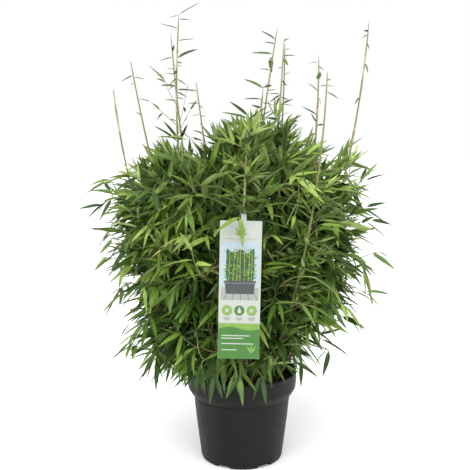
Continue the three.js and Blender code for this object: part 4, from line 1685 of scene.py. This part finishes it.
@dataclass
class Crown:
    """Everything that grows on the canes: stems, twigs and leaves."""

    pot: Pot
    clump: Clump
    envelope: Envelope = Envelope()
    label: LabelSpace = field(default_factory=LabelSpace)
    pot_margin: float = 3
    side_drop: float = 20
    side_clearance: float = 22
    stem_bow: float = 0.45
    stem_radii: Span = (2.21, 1.56)
    twig_radius: float = 1.3
    twig_thinning: float = 0.78
    least_twig: Span = (0.55, 0.45)
    twig_gap: float = 1.5
    leaf_length: float = 76
    leaf_lengths: Span = (0.74, 1.12)
    leaf_width: float = 0.16
    leaf_widths: Span = (0.86, 1.12)
    leaf_step: float = 0.16
    leaf_spreads: Span = (0.75, 0.35)
    leaf_turns: Span = (0.7, 1.25)
    leaf_sags: Span = (0.02, 0.2)
    leaf_gap: float = 2.4
    fan_counts: Span = (3.2, 6.4)
    fan_sizes: Span = (0.8, 1.12)
    fan_tries: int = 4
    free_size: float = 0.8
    heart_heights: Span = (300, 640)
    top_swing: float = 1.9
    top_radii: Span = (0.9, 0.5)
    twig_radii: Span = (0.95, 0.45)
    twig_slim: float = 0.4
    top_reaches: Span = (12, 36)
    top_rises: Span = (0.4, 1.1)
    top_steps: Span = (9, 17)
    top_sags: Span = (0.02, 0.1)
    top_shade: float = 0.3
    slant: float = 1.5
    least_width: float = 5
    withered_share: float = 0.014
    withered_size: float = 0.6
    dart_seed: int = 31
    mass_seed: int = 101
    top_seed: int = 9000
    darts: int = 260000
    lowest_corner: Row = (-380, -310, 246)
    highest_corner: Row = (370, 350, 890)
    depths: Row = (28, 88, 132, 178, 262)
    gaps: Row = (76, 74, 29, 23, 32)
    rise_heights: Row = (240, 400, 560, 700, 800, 880)
    rises: Row = (-0.6, -0.42, -0.24, -0.04, 0.12, 0.3)
    masses: list[Mass] = field(default_factory=list)
    limbs: list[Limb] = field(default_factory=list)
    leaves: dict[LeafTone, list[Leaf]] = field(default_factory=dict)

    def plan(self) -> None:
        """Works out the place of each mass by the source's rule."""
        for t, tier in enumerate(TIERS):
            dice = Dice(self.mass_seed + t)
            for i in range(tier.count):
                turn = tier.turn + 360 * i / tier.count + 8 * (dice() - 0.5)
                azimuth = math.radians(turn)
                height = tier.height + 36 * (dice() - 0.5)
                radius = tier.reach * self.envelope.reach(height, azimuth)
                name = f"foliage_{tier.name}_{i + 1}"
                seed = 1000 * (t + 1) + i
                self.masses.append(Mass(name, tier, azimuth, polar(radius, azimuth, height), seed))
        self.leaves = {tone: [] for tone in LeafTone}

    def is_taken(self, p: Vector) -> bool:
        """True if the pot or the label is there."""
        low = p.z < self.pot.height + self.pot_margin
        near = math.hypot(p.x, p.y) < self.pot.rim_radius + self.pot_margin
        return (low and near) or self.label.holds(p)

    def stem_of(self, mass: Mass) -> Limb:
        """The stem that carries a mass, from its cane's tip or from the side of a middle cane.

        Args:
            mass: the mass.

        Returns:
            The stem.
        """
        if mass.tier.root is StemRoot.TIP:
            path = self.clump.short[mass.name.removeprefix("foliage_")].path
            start, run = path.at(1), path.direction(1)
        else:
            start, run = self.side_start(mass)
        far = mass.centre + mass.outward * mass.tier.push
        far.z += mass.tier.lift
        pull = start + run * (self.stem_bow * (far - start).length)
        return Limb(start, pull, far, *self.stem_radii)

    def side_start(self, mass: Mass) -> tuple[Vector, Vector]:
        """The nearest place on a middle cane's side to a mass, and the way out of it.

        Args:
            mass: the mass.

        Returns:
            The place, and the way out as a unit vector.
        """
        target = mass.centre - self.side_drop * UP
        lowest = self.pot.height + self.side_clearance
        canes = [cane for name, cane in self.clump.short.items() if name.startswith("middle")]
        spots = [(cane, 0.1 + 0.02 * step) for cane in canes for step in range(31)]
        clear = [(cane, share) for cane, share in spots if cane.path.at(share).z > lowest]
        cane, share = min(clear, key=lambda spot: (spot[0].path.at(spot[1]) - target).length)
        point, run = cane.path.at(share), cane.path.direction(share)
        out = target - point
        out = (out - run * out.dot(run)).normalized()
        return point + out * (0.6 * cane.radius_at(share)), out

    def fan_places(self) -> dict[str, list[Vector]]:
        """Spreads places for fans through the crown, by the gap that belongs to each depth.

        Places are kept in bins as wide as the largest gap, so that only near ones are compared.

        Returns:
            The places in the space of each mass, by the mass's name.
        """
        rng = np.random.default_rng(self.dart_seed)
        widest = max(self.gaps)
        bins: dict[tuple[int, ...], list[Vector]] = {}
        owned: dict[str, list[Vector]] = {mass.name: [] for mass in self.masses}
        steps = [(a, b, c) for a in (-1, 0, 1) for b in (-1, 0, 1) for c in (-1, 0, 1)]
        for point in rng.uniform(self.lowest_corner, self.highest_corner, (self.darts, 3)):
            place = Vector(point)
            depth = self.envelope.body_depth(place)
            if depth < self.depths[0] or self.is_taken(place):
                continue
            gap = float(np.interp(depth, self.depths, self.gaps))
            key = tuple(int(c // widest) for c in place)
            near = (bins.get(tuple(k + s for k, s in zip(key, step)), ()) for step in steps)
            if any((other - place).length < gap for group in near for other in group):
                continue
            bins.setdefault(key, []).append(place)
            mass = min(self.masses, key=lambda mass: (mass.centre - place).length)
            owned[mass.name].append(place)
        return owned

    def grow_mass(self, mass: Mass, places: Sequence[Vector]) -> None:
        """Grows a mass: its stem, and twigs that branch on from it to every fan.

        Args:
            mass: the mass.
            places: where its fans go.
        """
        dice = Dice(mass.seed)
        stem = self.stem_of(mass)
        self.limbs.append(stem)
        buds = [Bud(stem.at(s / 10), stem.direction(s / 10), 0) for s in range(2, 11)]
        gaps = {tuple(p): min((p - bud.place).length for bud in buds) for p in places}
        for place in sorted(places, key=lambda p: gaps[tuple(p)]):
            for bud in sorted(buds, key=lambda bud: bud.cost(place))[:3]:
                twig = self.twig(bud, place, dice)
                spots = [twig.at(share) for share in (0.35, 0.7, 1)]
                if self.clump.thicket.clearance(spots) > self.twig_gap:
                    break
            else:
                continue
            if not self.grow_fan(twig, dice):
                continue
            bud.children += 1
            self.limbs.append(twig)
            for share in (0.6, 1):
                buds.append(Bud(twig.at(share), twig.direction(share), bud.level + 1))

    def twig(self, bud: Bud, place: Vector, dice: Dice) -> Limb:
        """A twig that leaves its bud along the older twig and bows over to its fan.

        Args:
            bud: where it starts.
            place: where it ends.
            dice: where its chances come from.

        Returns:
            The twig.
        """
        run = place - bud.place
        onward, aside, rise = 0.3, 0.25, 0.1
        pull = bud.place + bud.run * (onward * run.length) + run * aside
        pull.z += rise * run.length * dice()
        thick, thin = self.least_twig
        radius = max(self.twig_radius * self.twig_thinning**bud.level, thick)
        return Limb(bud.place, pull, place, radius, max(0.75 * radius, thin))

    def tone_for(self, place: Vector, dice: Dice) -> LeafTone:
        """The tone of a fan of leaves, partly at random and partly painted light and shade: lighter
        high up and on the outside of the crown, darker low down and deep inside it.

        Args:
            place: where the fan is.
            dice: where its chances come from.

        Returns:
            The tone.
        """
        low, rise = 250, 500
        skin, core = 60, 120
        height = clamp((place.z - low) / rise)
        depth = clamp((self.envelope.depth(place) - skin) / core)
        # painted light and shade: fans low down and deep in the crown get darker tones, fans high
        # up and outside get lighter ones
        shade = dice() + lerp(0.34, -0.12, height) + 0.24 * depth
        return next((tone for limit, tone in TONE_LIMITS if shade < limit), LeafTone.DEEP)

    def grow_fan(self, twig: Limb, dice: Dice, free: bool = False) -> int:
        """Grows a fan of leaves at the end of a twig: one at its tip, the others in pairs.

        Args:
            twig: the twig.
            dice: where its chances come from.
            free: the fan may stand clear of the crown.

        Returns:
            How many leaves found room.
        """
        grown = 0
        tip = twig.end
        tone = self.tone_for(tip, dice)
        heart = Vector((0, 0, clamp(tip.z, *self.heart_heights)))
        out = (tip - heart).normalized()
        run = (twig.direction(1) * 0.6 + out * 0.5).normalized()
        rise = float(np.interp(tip.z, self.rise_heights, self.rises))
        scale = dice.between(*self.fan_sizes) * (self.free_size if free else 1)
        fewest, most = self.fan_counts
        first, more = self.leaf_spreads
        for k in range(int(dice.between(fewest, most - free))):
            side = 1 if k % 2 else -1
            spread = dice.around(0.5) if k == 0 else first + more * ((k - 1) // 2)
            base = twig.at(1 - self.leaf_step * k) if k else tip
            for _ in range(self.fan_tries):
                along = turned(run, UP, side * spread * dice.between(*self.leaf_turns))
                along.z += dice.around(0.5) + rise
                along.normalize()
                length = self.leaf_length * scale * dice.between(*self.leaf_lengths)
                leaf = self.leaf(base, along, length, dice)
                if self.has_room(leaf, free):
                    withered = dice() < self.withered_share
                    if withered:
                        leaf.length *= self.withered_size
                        leaf.width *= self.withered_size
                    self.leaves[LeafTone.STRAW if withered else tone].append(leaf)
                    grown += 1
                    break
        return grown

    def leaf(self, base: Vector, along: Vector, length: float, dice: Dice) -> Leaf:
        """A leaf with its own roll, sag and twist."""
        across, face = leaf_axes(along, dice.around(1.0))
        sag = dice.between(*self.leaf_sags) * (1.2 - abs(along.z))
        width = self.leaf_width * length * dice.between(*self.leaf_widths)
        return Leaf(base, along, across, face, length, width, sag, dice.around(0.5))

    def has_room(self, leaf: Leaf, free: bool) -> bool:
        """True if a leaf stays in the crown, and clear of the pot, the label and the canes.

        Args:
            leaf: the leaf.
            free: it may pass the crown's outline.

        Returns:
            True if there is room for it.
        """
        if not free and self.envelope.depth(leaf.at(1)) < 0:
            return False
        spots = [leaf.at(0.3, 0.5), leaf.at(0.3, -0.5), leaf.at(0.65), leaf.at(1)]
        if any(self.is_taken(spot) for spot in spots):
            return False
        spine = [leaf.at(share) for share in (0.12, 0.35, 0.6, 0.85, 1)]
        return self.clump.thicket.clearance(spine) > self.leaf_gap

    def grow_shoot(self, row: TallCane, dice: Dice) -> None:
        """Grows the leaves and twigs on the top of a tall cane: small fans, then named ones.

        Args:
            row: the cane's row in the table.
            dice: where its chances come from.
        """
        culm = self.clump.tall[row.name]
        height = row.leafy[0]
        while height < row.leafy[1]:
            share = culm.path.share_at_height(height)
            root = culm.path.at(share)
            azimuth = math.atan2(root.y, root.x) + dice.around(self.top_swing)
            out = polar(culm.radius_at(share), azimuth, 0)
            reach = dice.between(*self.top_reaches)
            tip = root + polar(reach, azimuth, reach * dice.between(*self.top_rises))
            twig = Limb(root + out * 0.6, root + out * 4 + UP * 6, tip, *self.top_radii)
            if not self.is_taken(tip) and self.grow_fan(twig, dice, free=True):
                self.limbs.append(twig)
            height += dice.between(*self.top_steps)
        for fields in row.leaves:
            share = culm.path.share_at_height(fields[0])
            self.shoot_leaf(ShootLeaf(*fields), culm.path.at(share), culm.radius_at(share), dice)
        for height, pull, tip, leaves in row.twigs:
            root = culm.path.at(culm.path.share_at_height(height))
            limb = Limb(root, Vector(pull), Vector(tip), *self.twig_radii)
            self.limbs.append(limb)
            for fields in leaves:
                self.shoot_leaf(ShootLeaf(*fields), limb.at(fields[0]), self.twig_slim, dice)

    def shoot_leaf(self, row: ShootLeaf, root: Vector, radius: float, dice: Dice) -> None:
        """Puts one named leaf on a tall cane or on one of its twigs.

        Args:
            row: the leaf's row.
            root: where it starts.
            radius: of the cane or twig there.
            dice: where its chances come from.
        """
        azimuth = math.radians(row.bearing + dice.around(14))
        along = polar(1, azimuth, math.tan(math.radians(row.rise))).normalized()
        lean = dice.between(0.2, 0.5)
        choices = [leaf_axes(along, roll) for roll in (lean, -lean)]
        across, face = min(choices, key=lambda axes: axes[1].y)
        base = root + along * (0.5 * radius)
        sag = dice.between(*self.top_sags)
        width = max(self.slant * row.width * row.length, self.least_width)
        leaf = Leaf(base, along, across, face, row.length, width, sag, dice.around(0.3))
        tone = LeafTone.SHADE if dice() < self.top_shade else LeafTone.DEEP
        self.leaves[row.tone or tone].append(leaf)

    def grow(self) -> None:
        """Grows the whole crown."""
        places = self.fan_places()
        for mass in self.masses:
            self.grow_mass(mass, places[mass.name])
        for number, row in enumerate(TALL_CANES):
            self.grow_shoot(row, Dice(self.top_seed + number))
        total = sum(len(leaves) for leaves in self.leaves.values())
        log.info("crown: %d limbs, %d leaves", len(self.limbs), total)

    def leaf_stencil(self) -> Stencil:
        """A pointed blade that is folded along its midrib, one unit wide and one unit long."""
        rows, tip = 6, 0.999
        widest, roundness = 0.62, 0.85
        fold, thick = 0.16, 0.07
        shape = bmesh.new()
        uv = shape.loops.layers.uv.verify()
        bmesh.ops.create_grid(shape, x_segments=2, y_segments=rows, size=0.5)
        for face in shape.faces:
            for loop in face.loops:
                loop[uv].uv = (loop.vert.co.x + 0.5, loop.vert.co.y + 0.5)
        for vert in shape.verts:
            share = vert.co.y + 0.5
            half = math.sin(math.pi * share**widest) ** roundness if 0 < share < tip else 0.0
            vert.co = Vector((vert.co.x * half, share, abs(vert.co.x) * half * fold * 2))
        lower = bmesh.ops.duplicate(shape, geom=[*shape.verts, *shape.edges, *shape.faces])
        faces = only(lower, bmesh.types.BMFace)
        bmesh.ops.reverse_faces(shape, faces=faces)
        for face in faces:
            face.material_index = 1
        for vert in only(lower, bmesh.types.BMVert):
            if abs(vert.co.x) < 1e-6 and 1e-6 < vert.co.y < tip:
                vert.co.z -= thick
        bmesh.ops.remove_doubles(shape, verts=shape.verts, dist=1e-5)
        for edge in shape.edges:
            edge.smooth = len({face.material_index for face in edge.link_faces}) == 1
        return Stencil.of(shape)

    def limb_stencil(self) -> Stencil:
        """A straight tube of radius one from height 0 to 1, closed at both ends."""
        sides, cuts = 5, 3
        shape = bmesh.new()
        bmesh.ops.create_cone(shape, cap_ends=True, segments=sides, radius1=1, radius2=1, depth=1)
        bmesh.ops.translate(shape, verts=shape.verts, vec=(0, 0, 0.5))
        upright = edges_along(shape, 2)
        bmesh.ops.subdivide_edges(shape, edges=upright, cuts=cuts, use_grid_fill=True)
        return Stencil.of(shape)

    def place_limbs(self, stencil: Stencil) -> np.ndarray:
        """The points of every limb's tube, as limbs by points by three.

        Args:
            stencil: the straight tube.

        Returns:
            The points in millimetres.
        """
        rows = np.array([limb.row() for limb in self.limbs])
        root, pull, end = (rows[:, None, i : i + 3] for i in (0, 3, 6))
        x, y, share = (stencil.points[None, :, i : i + 1] for i in range(3))
        middle = bowed(root, pull, end, share)
        run = (1 - share) * (pull - root) + share * (end - pull)
        run /= np.linalg.norm(run, axis=2, keepdims=True)
        helper = np.where(np.abs(run[..., 2:3]) < 0.8, [0.0, 0.0, 1.0], [1.0, 0.0, 0.0])
        side = np.cross(run, helper)
        side /= np.linalg.norm(side, axis=2, keepdims=True)
        lift = np.cross(run, side)
        radius = rows[:, None, 9:10] * (1 - share) + rows[:, None, 10:11] * share
        return middle + radius * (side * x + lift * y)

    def place_leaves(self, stencil: Stencil, leaves: Sequence[Leaf]) -> np.ndarray:
        """The points of the leaves' blades, as leaves by points by three.

        Args:
            stencil: the flat blade.
            leaves: the leaves.

        Returns:
            The points in millimetres.
        """
        rows = np.array([leaf.row() for leaf in leaves])
        base, along, across, face, droop = (rows[:, None, i : i + 3] for i in range(0, 15, 3))
        length, width, sag, twist = (rows[:, None, i : i + 1] for i in range(15, 19))
        x, share, z = (stencil.points[None, :, i : i + 1] for i in range(3))
        angle = twist * share
        wide = across * np.cos(angle) + face * np.sin(angle)
        high = face * np.cos(angle) - across * np.sin(angle)
        spine = base + along * length * share + droop * sag * length * share**2
        return spine + (wide * x + high * z) * width

    def build(self) -> None:
        """Makes the joined pieces: one of limbs, and one for each tone of leaf."""
        nodes = [name for name in frame["nodes"] if name.startswith(("foliage_", "spray_"))]
        stencil = self.limb_stencil()
        mesh = stencil.repeated(self.place_limbs(stencil))
        finish_piece(mesh, "twigs", [TwigBark().material()], nodes, 60)
        blade = self.leaf_stencil()
        for tone, leaves in self.leaves.items():
            name, upper, lower = tone.value
            finishes = [
                LeafBlade(f"leaf_{name}", upper).material(),
                LeafBlade(f"leaf_{name}_under", lower, BladeSide.LOWER).material(),
            ]
            mesh = blade.repeated(self.place_leaves(blade, leaves))
            finish_piece(mesh, f"leaves_{name}", finishes, nodes, 0)


# The care label


class Ink(Enum):
    """The inks of the label's print, in the order of its materials."""

    WHITE = paint(164, 169, 161)
    SKY = paint(152, 170, 178)
    STONE = paint(140, 142, 138)
    SLATE = paint(58, 63, 66)
    LIME = paint(106, 142, 56)
    GREEN = paint(54, 104, 36)
    LEAF = paint(34, 70, 26)
    STRAW = paint(158, 144, 92)


@dataclass
class LabelPrint:
    """A generic print of flat shapes, each in one ink and laid over the ones before it.

    Places are distances in millimetres to the right of the plate's middle and down from its top.
    """

    width: float
    height: float
    depth: float = 0.12
    layer_step: float = 0.04
    root_depth: float = 0.3
    seed: int = 58
    layers: int = 0
    art: Shape = field(default_factory=bmesh.new)

    def draw(self) -> Shape:
        """Draws the whole print, from its head down."""
        self.draw_header()
        self.draw_picture()
        self.draw_care()
        self.draw_footer()
        bmesh.ops.recalc_face_normals(self.art, faces=self.art.faces)
        return self.art

    def stamp(self, outline: Outline, ink: Ink) -> None:
        """Prints a flat shape over the ones before it.

        Args:
            outline: its corners, as places on the plate.
            ink: its ink.
        """
        self.layers += 1
        depth = self.depth * (1 + self.layer_step * self.layers)
        verts = [self.art.verts.new((x, self.root_depth, -down)) for x, down in outline]
        edges = [self.art.edges.new(pair) for pair in zip(verts, [*verts[1:], verts[0]])]
        filled = bmesh.ops.triangle_fill(self.art, use_beauty=True, edges=edges)
        faces = only(filled, bmesh.types.BMFace)
        raised = bmesh.ops.extrude_face_region(self.art, geom=faces, use_keep_orig=True)
        top = only(raised, bmesh.types.BMVert)
        bmesh.ops.translate(self.art, verts=top, vec=(0, -self.root_depth - depth, 0))
        for vert in [*verts, *top]:
            for face in vert.link_faces:
                face.material_index = list(Ink).index(ink)

    def block(self, left: float, right: float, top: float, low: float, ink: Ink) -> None:
        """Prints a rectangle between two sides and two depths."""
        self.stamp(((left, top), (right, top), (right, low), (left, low)), ink)

    def disc(self, x: float, down: float, radius: float, ink: Ink) -> None:
        """Prints a round spot."""
        angles = [math.tau * i / 28 for i in range(28)]
        self.stamp([(x + radius * math.cos(a), down + radius * math.sin(a)) for a in angles], ink)

    def leaf(self, x: float, down: float, turn: float, length: float, ink: Ink) -> None:
        """Prints a pointed leaf that starts at a spot and runs off at an angle in degrees.

        Args:
            x: the spot, from the middle of the plate.
            down: the spot, from its top.
            turn: the angle.
            length: the leaf's length.
            ink: its ink.
        """
        way = Vector((math.cos(math.radians(turn)), -math.sin(math.radians(turn))))
        side = Vector((-way.y, way.x))
        edge = ((0.2, 0.09), (0.42, 0.12), (0.7, 0.075))
        form = ((0, 0), *edge, (1, 0), *[(along, -off) for along, off in reversed(edge)])
        root = Vector((x, down))
        self.stamp([tuple(root + length * (way * along + side * off)) for along, off in form], ink)

    def draw_header(self) -> None:
        """Draws the white head: a spray of leaves over a thin double rule."""
        for turn, length in ((90, 26), (56, 22), (124, 22), (24, 17), (156, 17)):
            self.leaf(0, 33, turn, length, Ink.GREEN if turn % 4 else Ink.LIME)
        self.block(-34, 34, 39, 39.8, Ink.LIME)
        self.block(-22, 22, 41.6, 42.2, Ink.STONE)

    def draw_picture(self) -> None:
        """Draws the picture: canes in a long trough, on paving, before a pale sky."""
        left, right, top, low = -41, 41, 47, 174
        ground, soil = 146, 134
        self.block(left, right, top, low, Ink.SKY)
        self.block(left, right, ground, low, Ink.STONE)
        for x in (-25, -12, 1, 14, 27):
            joint = ((x, ground), (x + 0.8, ground), (1.4 * x + 1, low), (1.4 * x, low))
            self.stamp(joint, Ink.SLATE)
        dice = Dice(self.seed)
        hedge = [(x, 66 - 5 * math.cos(0.21 * x) + dice.around(1.5)) for x in range(-30, 31, 4)]
        self.stamp((*hedge, (31, 110), (28, 136), (-28, 136), (-31, 110)), Ink.LEAF)
        for i in range(7):
            x = -24 + 8 * i + dice.around(1.5)
            end = x + dice.around(3)
            tip = 54 + 10 * dice()
            self.stamp(((x, soil), (end, tip), (end + 1, tip), (x + 1.5, soil)), Ink.STRAW)
        for i in range(150):
            x, down = dice.around(29), dice.between(62, 128)
            turn = (0 if x > 0 else 180) + dice.around(70) - (20 if x > 0 else -20)
            ink = (Ink.GREEN, Ink.LIME, Ink.GREEN)[i % 3]
            self.leaf(x, down, turn, dice.between(7, 10.5), ink)
        self.stamp(((-33, soil), (33, soil), (30, 160), (-30, 160)), Ink.SLATE)
        self.block(-34.5, 34.5, 131.5, 136, Ink.SLATE)
        self.block(-34.5, 34.5, 136, 136.7, Ink.STONE)

    def draw_care(self) -> None:
        """Draws three round care signs, for sun, water and frost, with bars under them."""
        sun, water, frost = -27, 0, 27
        level = 197
        for x, ink in ((sun, Ink.LIME), (water, Ink.GREEN), (frost, Ink.LIME)):
            self.disc(x, level, 11, ink)
        self.disc(sun, level, 3.6, Ink.WHITE)
        for turn in range(0, 360, 45):
            right, up = 4.6 * math.cos(math.radians(turn)), 4.6 * math.sin(math.radians(turn))
            self.leaf(sun + right, level - up, turn, 3.6, Ink.WHITE)
        self.disc(water, 199, 4.2, Ink.WHITE)
        self.stamp(((-3.9, 197.4), (0, 188.6), (3.9, 197.4)), Ink.WHITE)
        for turn in range(30, 360, 60):
            self.leaf(frost, level, turn, 8, Ink.WHITE)
        for x in (sun, water, frost):
            self.block(x - 8, x + 8, 213, 214.6, Ink.STONE)
            self.block(x - 5, x + 5, 217, 218.6, Ink.STONE)

    def draw_footer(self) -> None:
        """Draws the green foot, with a lighter wave along its top and a few plain bars."""
        half, low, corner = self.width / 2 - 0.4, self.height - 0.6, 3
        wave = [(half - 2 * half * i / 20, 237 + 4 * math.sin(0.32 * i)) for i in range(21)]
        self.stamp(((-half, 226), (half, 226), *wave), Ink.LIME)
        right = ((half, low - corner), (half - corner, low))
        left = ((-half + corner, low), (-half, low - corner))
        self.stamp((*reversed(wave), *right, *left), Ink.GREEN)
        for down, width in ((252, 62), (258, 48), (270, 70), (284, 34)):
            self.block(-38, -38 + width, down, down + 2.2, Ink.WHITE)
        for turn in (60, 90, 120):
            self.leaf(28, 292, turn, 20, Ink.LIME)


@dataclass
class CareLabel:
    """A long plate with a generic print, hung from a cane by a tongue and a collar."""

    space: LabelSpace
    thickness: float = 1.2
    tilt: float = math.radians(1.2)
    corner: float = 3
    collar_rise: float = 14
    collar_height: float = 8
    collar_wall: float = 1.6
    collar_gap: float = 0.8
    tongue_width: float = 12
    tongue_overlap: float = 8

    def build(self, culm: Culm) -> None:
        """Makes the plate, its print, and what holds it.

        Args:
            culm: the cane that carries it.
        """
        card = PrintedCard("label_card", Ink.WHITE.value, 0.02).material()
        plate = self.plate()
        self.place(plate)
        self.add_hanger(plate, culm)
        close_up(plate)
        finish_piece(mesh_of(plate), "label_plate", [card], ["label"], 30)
        inks = [PrintedCard(f"ink_{ink.name.lower()}", ink.value).material() for ink in Ink]
        art = LabelPrint(self.space.width, self.space.height).draw()
        self.place(art)
        finish_piece(mesh_of(art), "label_print", inks, (), 30)

    def place(self, shape: Shape) -> None:
        """Moves a shape from the plate's own frame, at the middle of its top, to its place."""
        turn = Matrix.Rotation(self.tilt, 4, "Y")
        hang = Matrix.Translation((self.space.x, self.space.front, self.space.top))
        bmesh.ops.transform(shape, matrix=hang @ turn, verts=shape.verts)

    def plate(self) -> Shape:
        """The plate, with round corners."""
        shape = bmesh.new()
        size = (self.space.width, self.thickness, self.space.height)
        add_box(shape, size, (0, self.thickness / 2, -self.space.height / 2))
        round_edges(shape, edges_along(shape, 1), self.corner, 5)
        return shape

    def add_hanger(self, shape: Shape, culm: Culm) -> None:
        """Adds the collar round the cane, and the tongue that bends from it to the plate.

        Args:
            shape: the shape that they are added to.
            culm: the cane.
        """
        z = self.space.top + self.collar_rise
        share = culm.path.share_at_height(z)
        centre, run = culm.path.at(share), culm.path.direction(share)
        inner = culm.radius_at(share) + self.collar_gap
        outer = inner + self.collar_wall
        half = self.collar_height / 2
        corners = ((inner, -half), (outer, -half), (outer, half), (inner, half), (inner, -half))
        collar = spun(corners, 24)
        turn = UP.rotation_difference(run).to_matrix().to_4x4()
        bmesh.ops.transform(collar, matrix=Matrix.Translation(centre) @ turn, verts=collar.verts)
        shape.from_mesh(emptied(collar, "collar"))
        front = self.space.front
        reach = centre.y - inner - self.collar_wall / 2 - front
        drop = self.collar_rise + self.tongue_overlap
        arm, strip = 1.6, 1.0
        behind = front + self.thickness + strip / 2
        add_box(shape, (self.tongue_width, reach, arm), (centre.x, front + reach / 2, z))
        place = (centre.x, behind, z - drop / 2 + arm / 2)
        add_box(shape, (self.tongue_width, strip, drop), place)


# The studio


@dataclass(frozen=True)
class Sun:
    """A soft sun: its name, its turn in degrees about each axis, and its power."""

    name: str
    turn: Row
    power: float


@dataclass
class Studio:
    """The floor, the lights and the camera."""

    camera_place: Row = (-0.0175, -1.822, 0.777)
    pitch_down: float = math.radians(6.4)
    focal_pixels: float = 727
    picture_pixels: int = 470
    sensor: float = 36.0
    floor_radius: float = 400.0
    floor_drop: float = 0.0005
    room: float = 1.0
    softness: float = math.radians(56)
    suns: tuple[Sun, ...] = (Sun("key", (44, 0, -14), 2.5), Sun("fill", (62, 0, 40), 0.6))
    paper: StudioPaper = StudioPaper()

    def build(self) -> None:
        """Sets up the studio."""
        self.build_floor()
        self.build_lights()
        self.build_camera()

    def build_floor(self) -> None:
        """Lays the pale floor."""
        shape = bmesh.new()
        bmesh.ops.create_circle(shape, cap_ends=True, segments=96, radius=self.floor_radius)
        mesh = emptied(shape, "floor")
        mesh.materials.append(self.paper.material())
        floor = placed("studio_floor", mesh)
        floor.location.z = -self.floor_drop

    def build_lights(self) -> None:
        """Lights the plant with two very soft suns, a strong and a weak one, in a white room."""
        world = bpy.data.worlds.new("studio")
        world.use_nodes = True
        back = world.node_tree.nodes["Background"]
        back.inputs["Color"].default_value = (1, 1, 1, 1)
        back.inputs["Strength"].default_value = self.room
        bpy.context.scene.world = world
        for sun in self.suns:
            data = bpy.data.lights.new(sun.name, "SUN")
            data.angle = self.softness
            data.energy = sun.power
            light = placed(sun.name, data)
            light.rotation_euler = [math.radians(angle) for angle in sun.turn]
        bpy.context.scene.view_settings.view_transform = "Standard"

    def build_camera(self) -> None:
        """Stands the camera where the photograph was taken from."""
        data = bpy.data.cameras.new("camera")
        data.sensor_width = self.sensor
        data.lens = self.sensor * self.focal_pixels / self.picture_pixels
        camera = placed("camera", data)
        camera.location = self.camera_place
        camera.rotation_euler = (math.pi / 2 - self.pitch_down, 0, 0)
        bpy.context.scene.camera = camera


def main() -> None:
    """Builds the plant from the pot up."""
    logging.basicConfig(level=logging.INFO, format="%(name)s: %(message)s")
    Studio().build()
    pot = Pot()
    pot.build()
    soil = Soil()
    soil.build(pot)
    clump = Clump(soil)
    clump.plan()
    clump.build()
    crown = Crown(pot, clump)
    crown.plan()
    crown.grow()
    crown.build()
    CareLabel(crown.label).build(clump.tall["label_cane"])


if __name__ == "__main__":
    main()
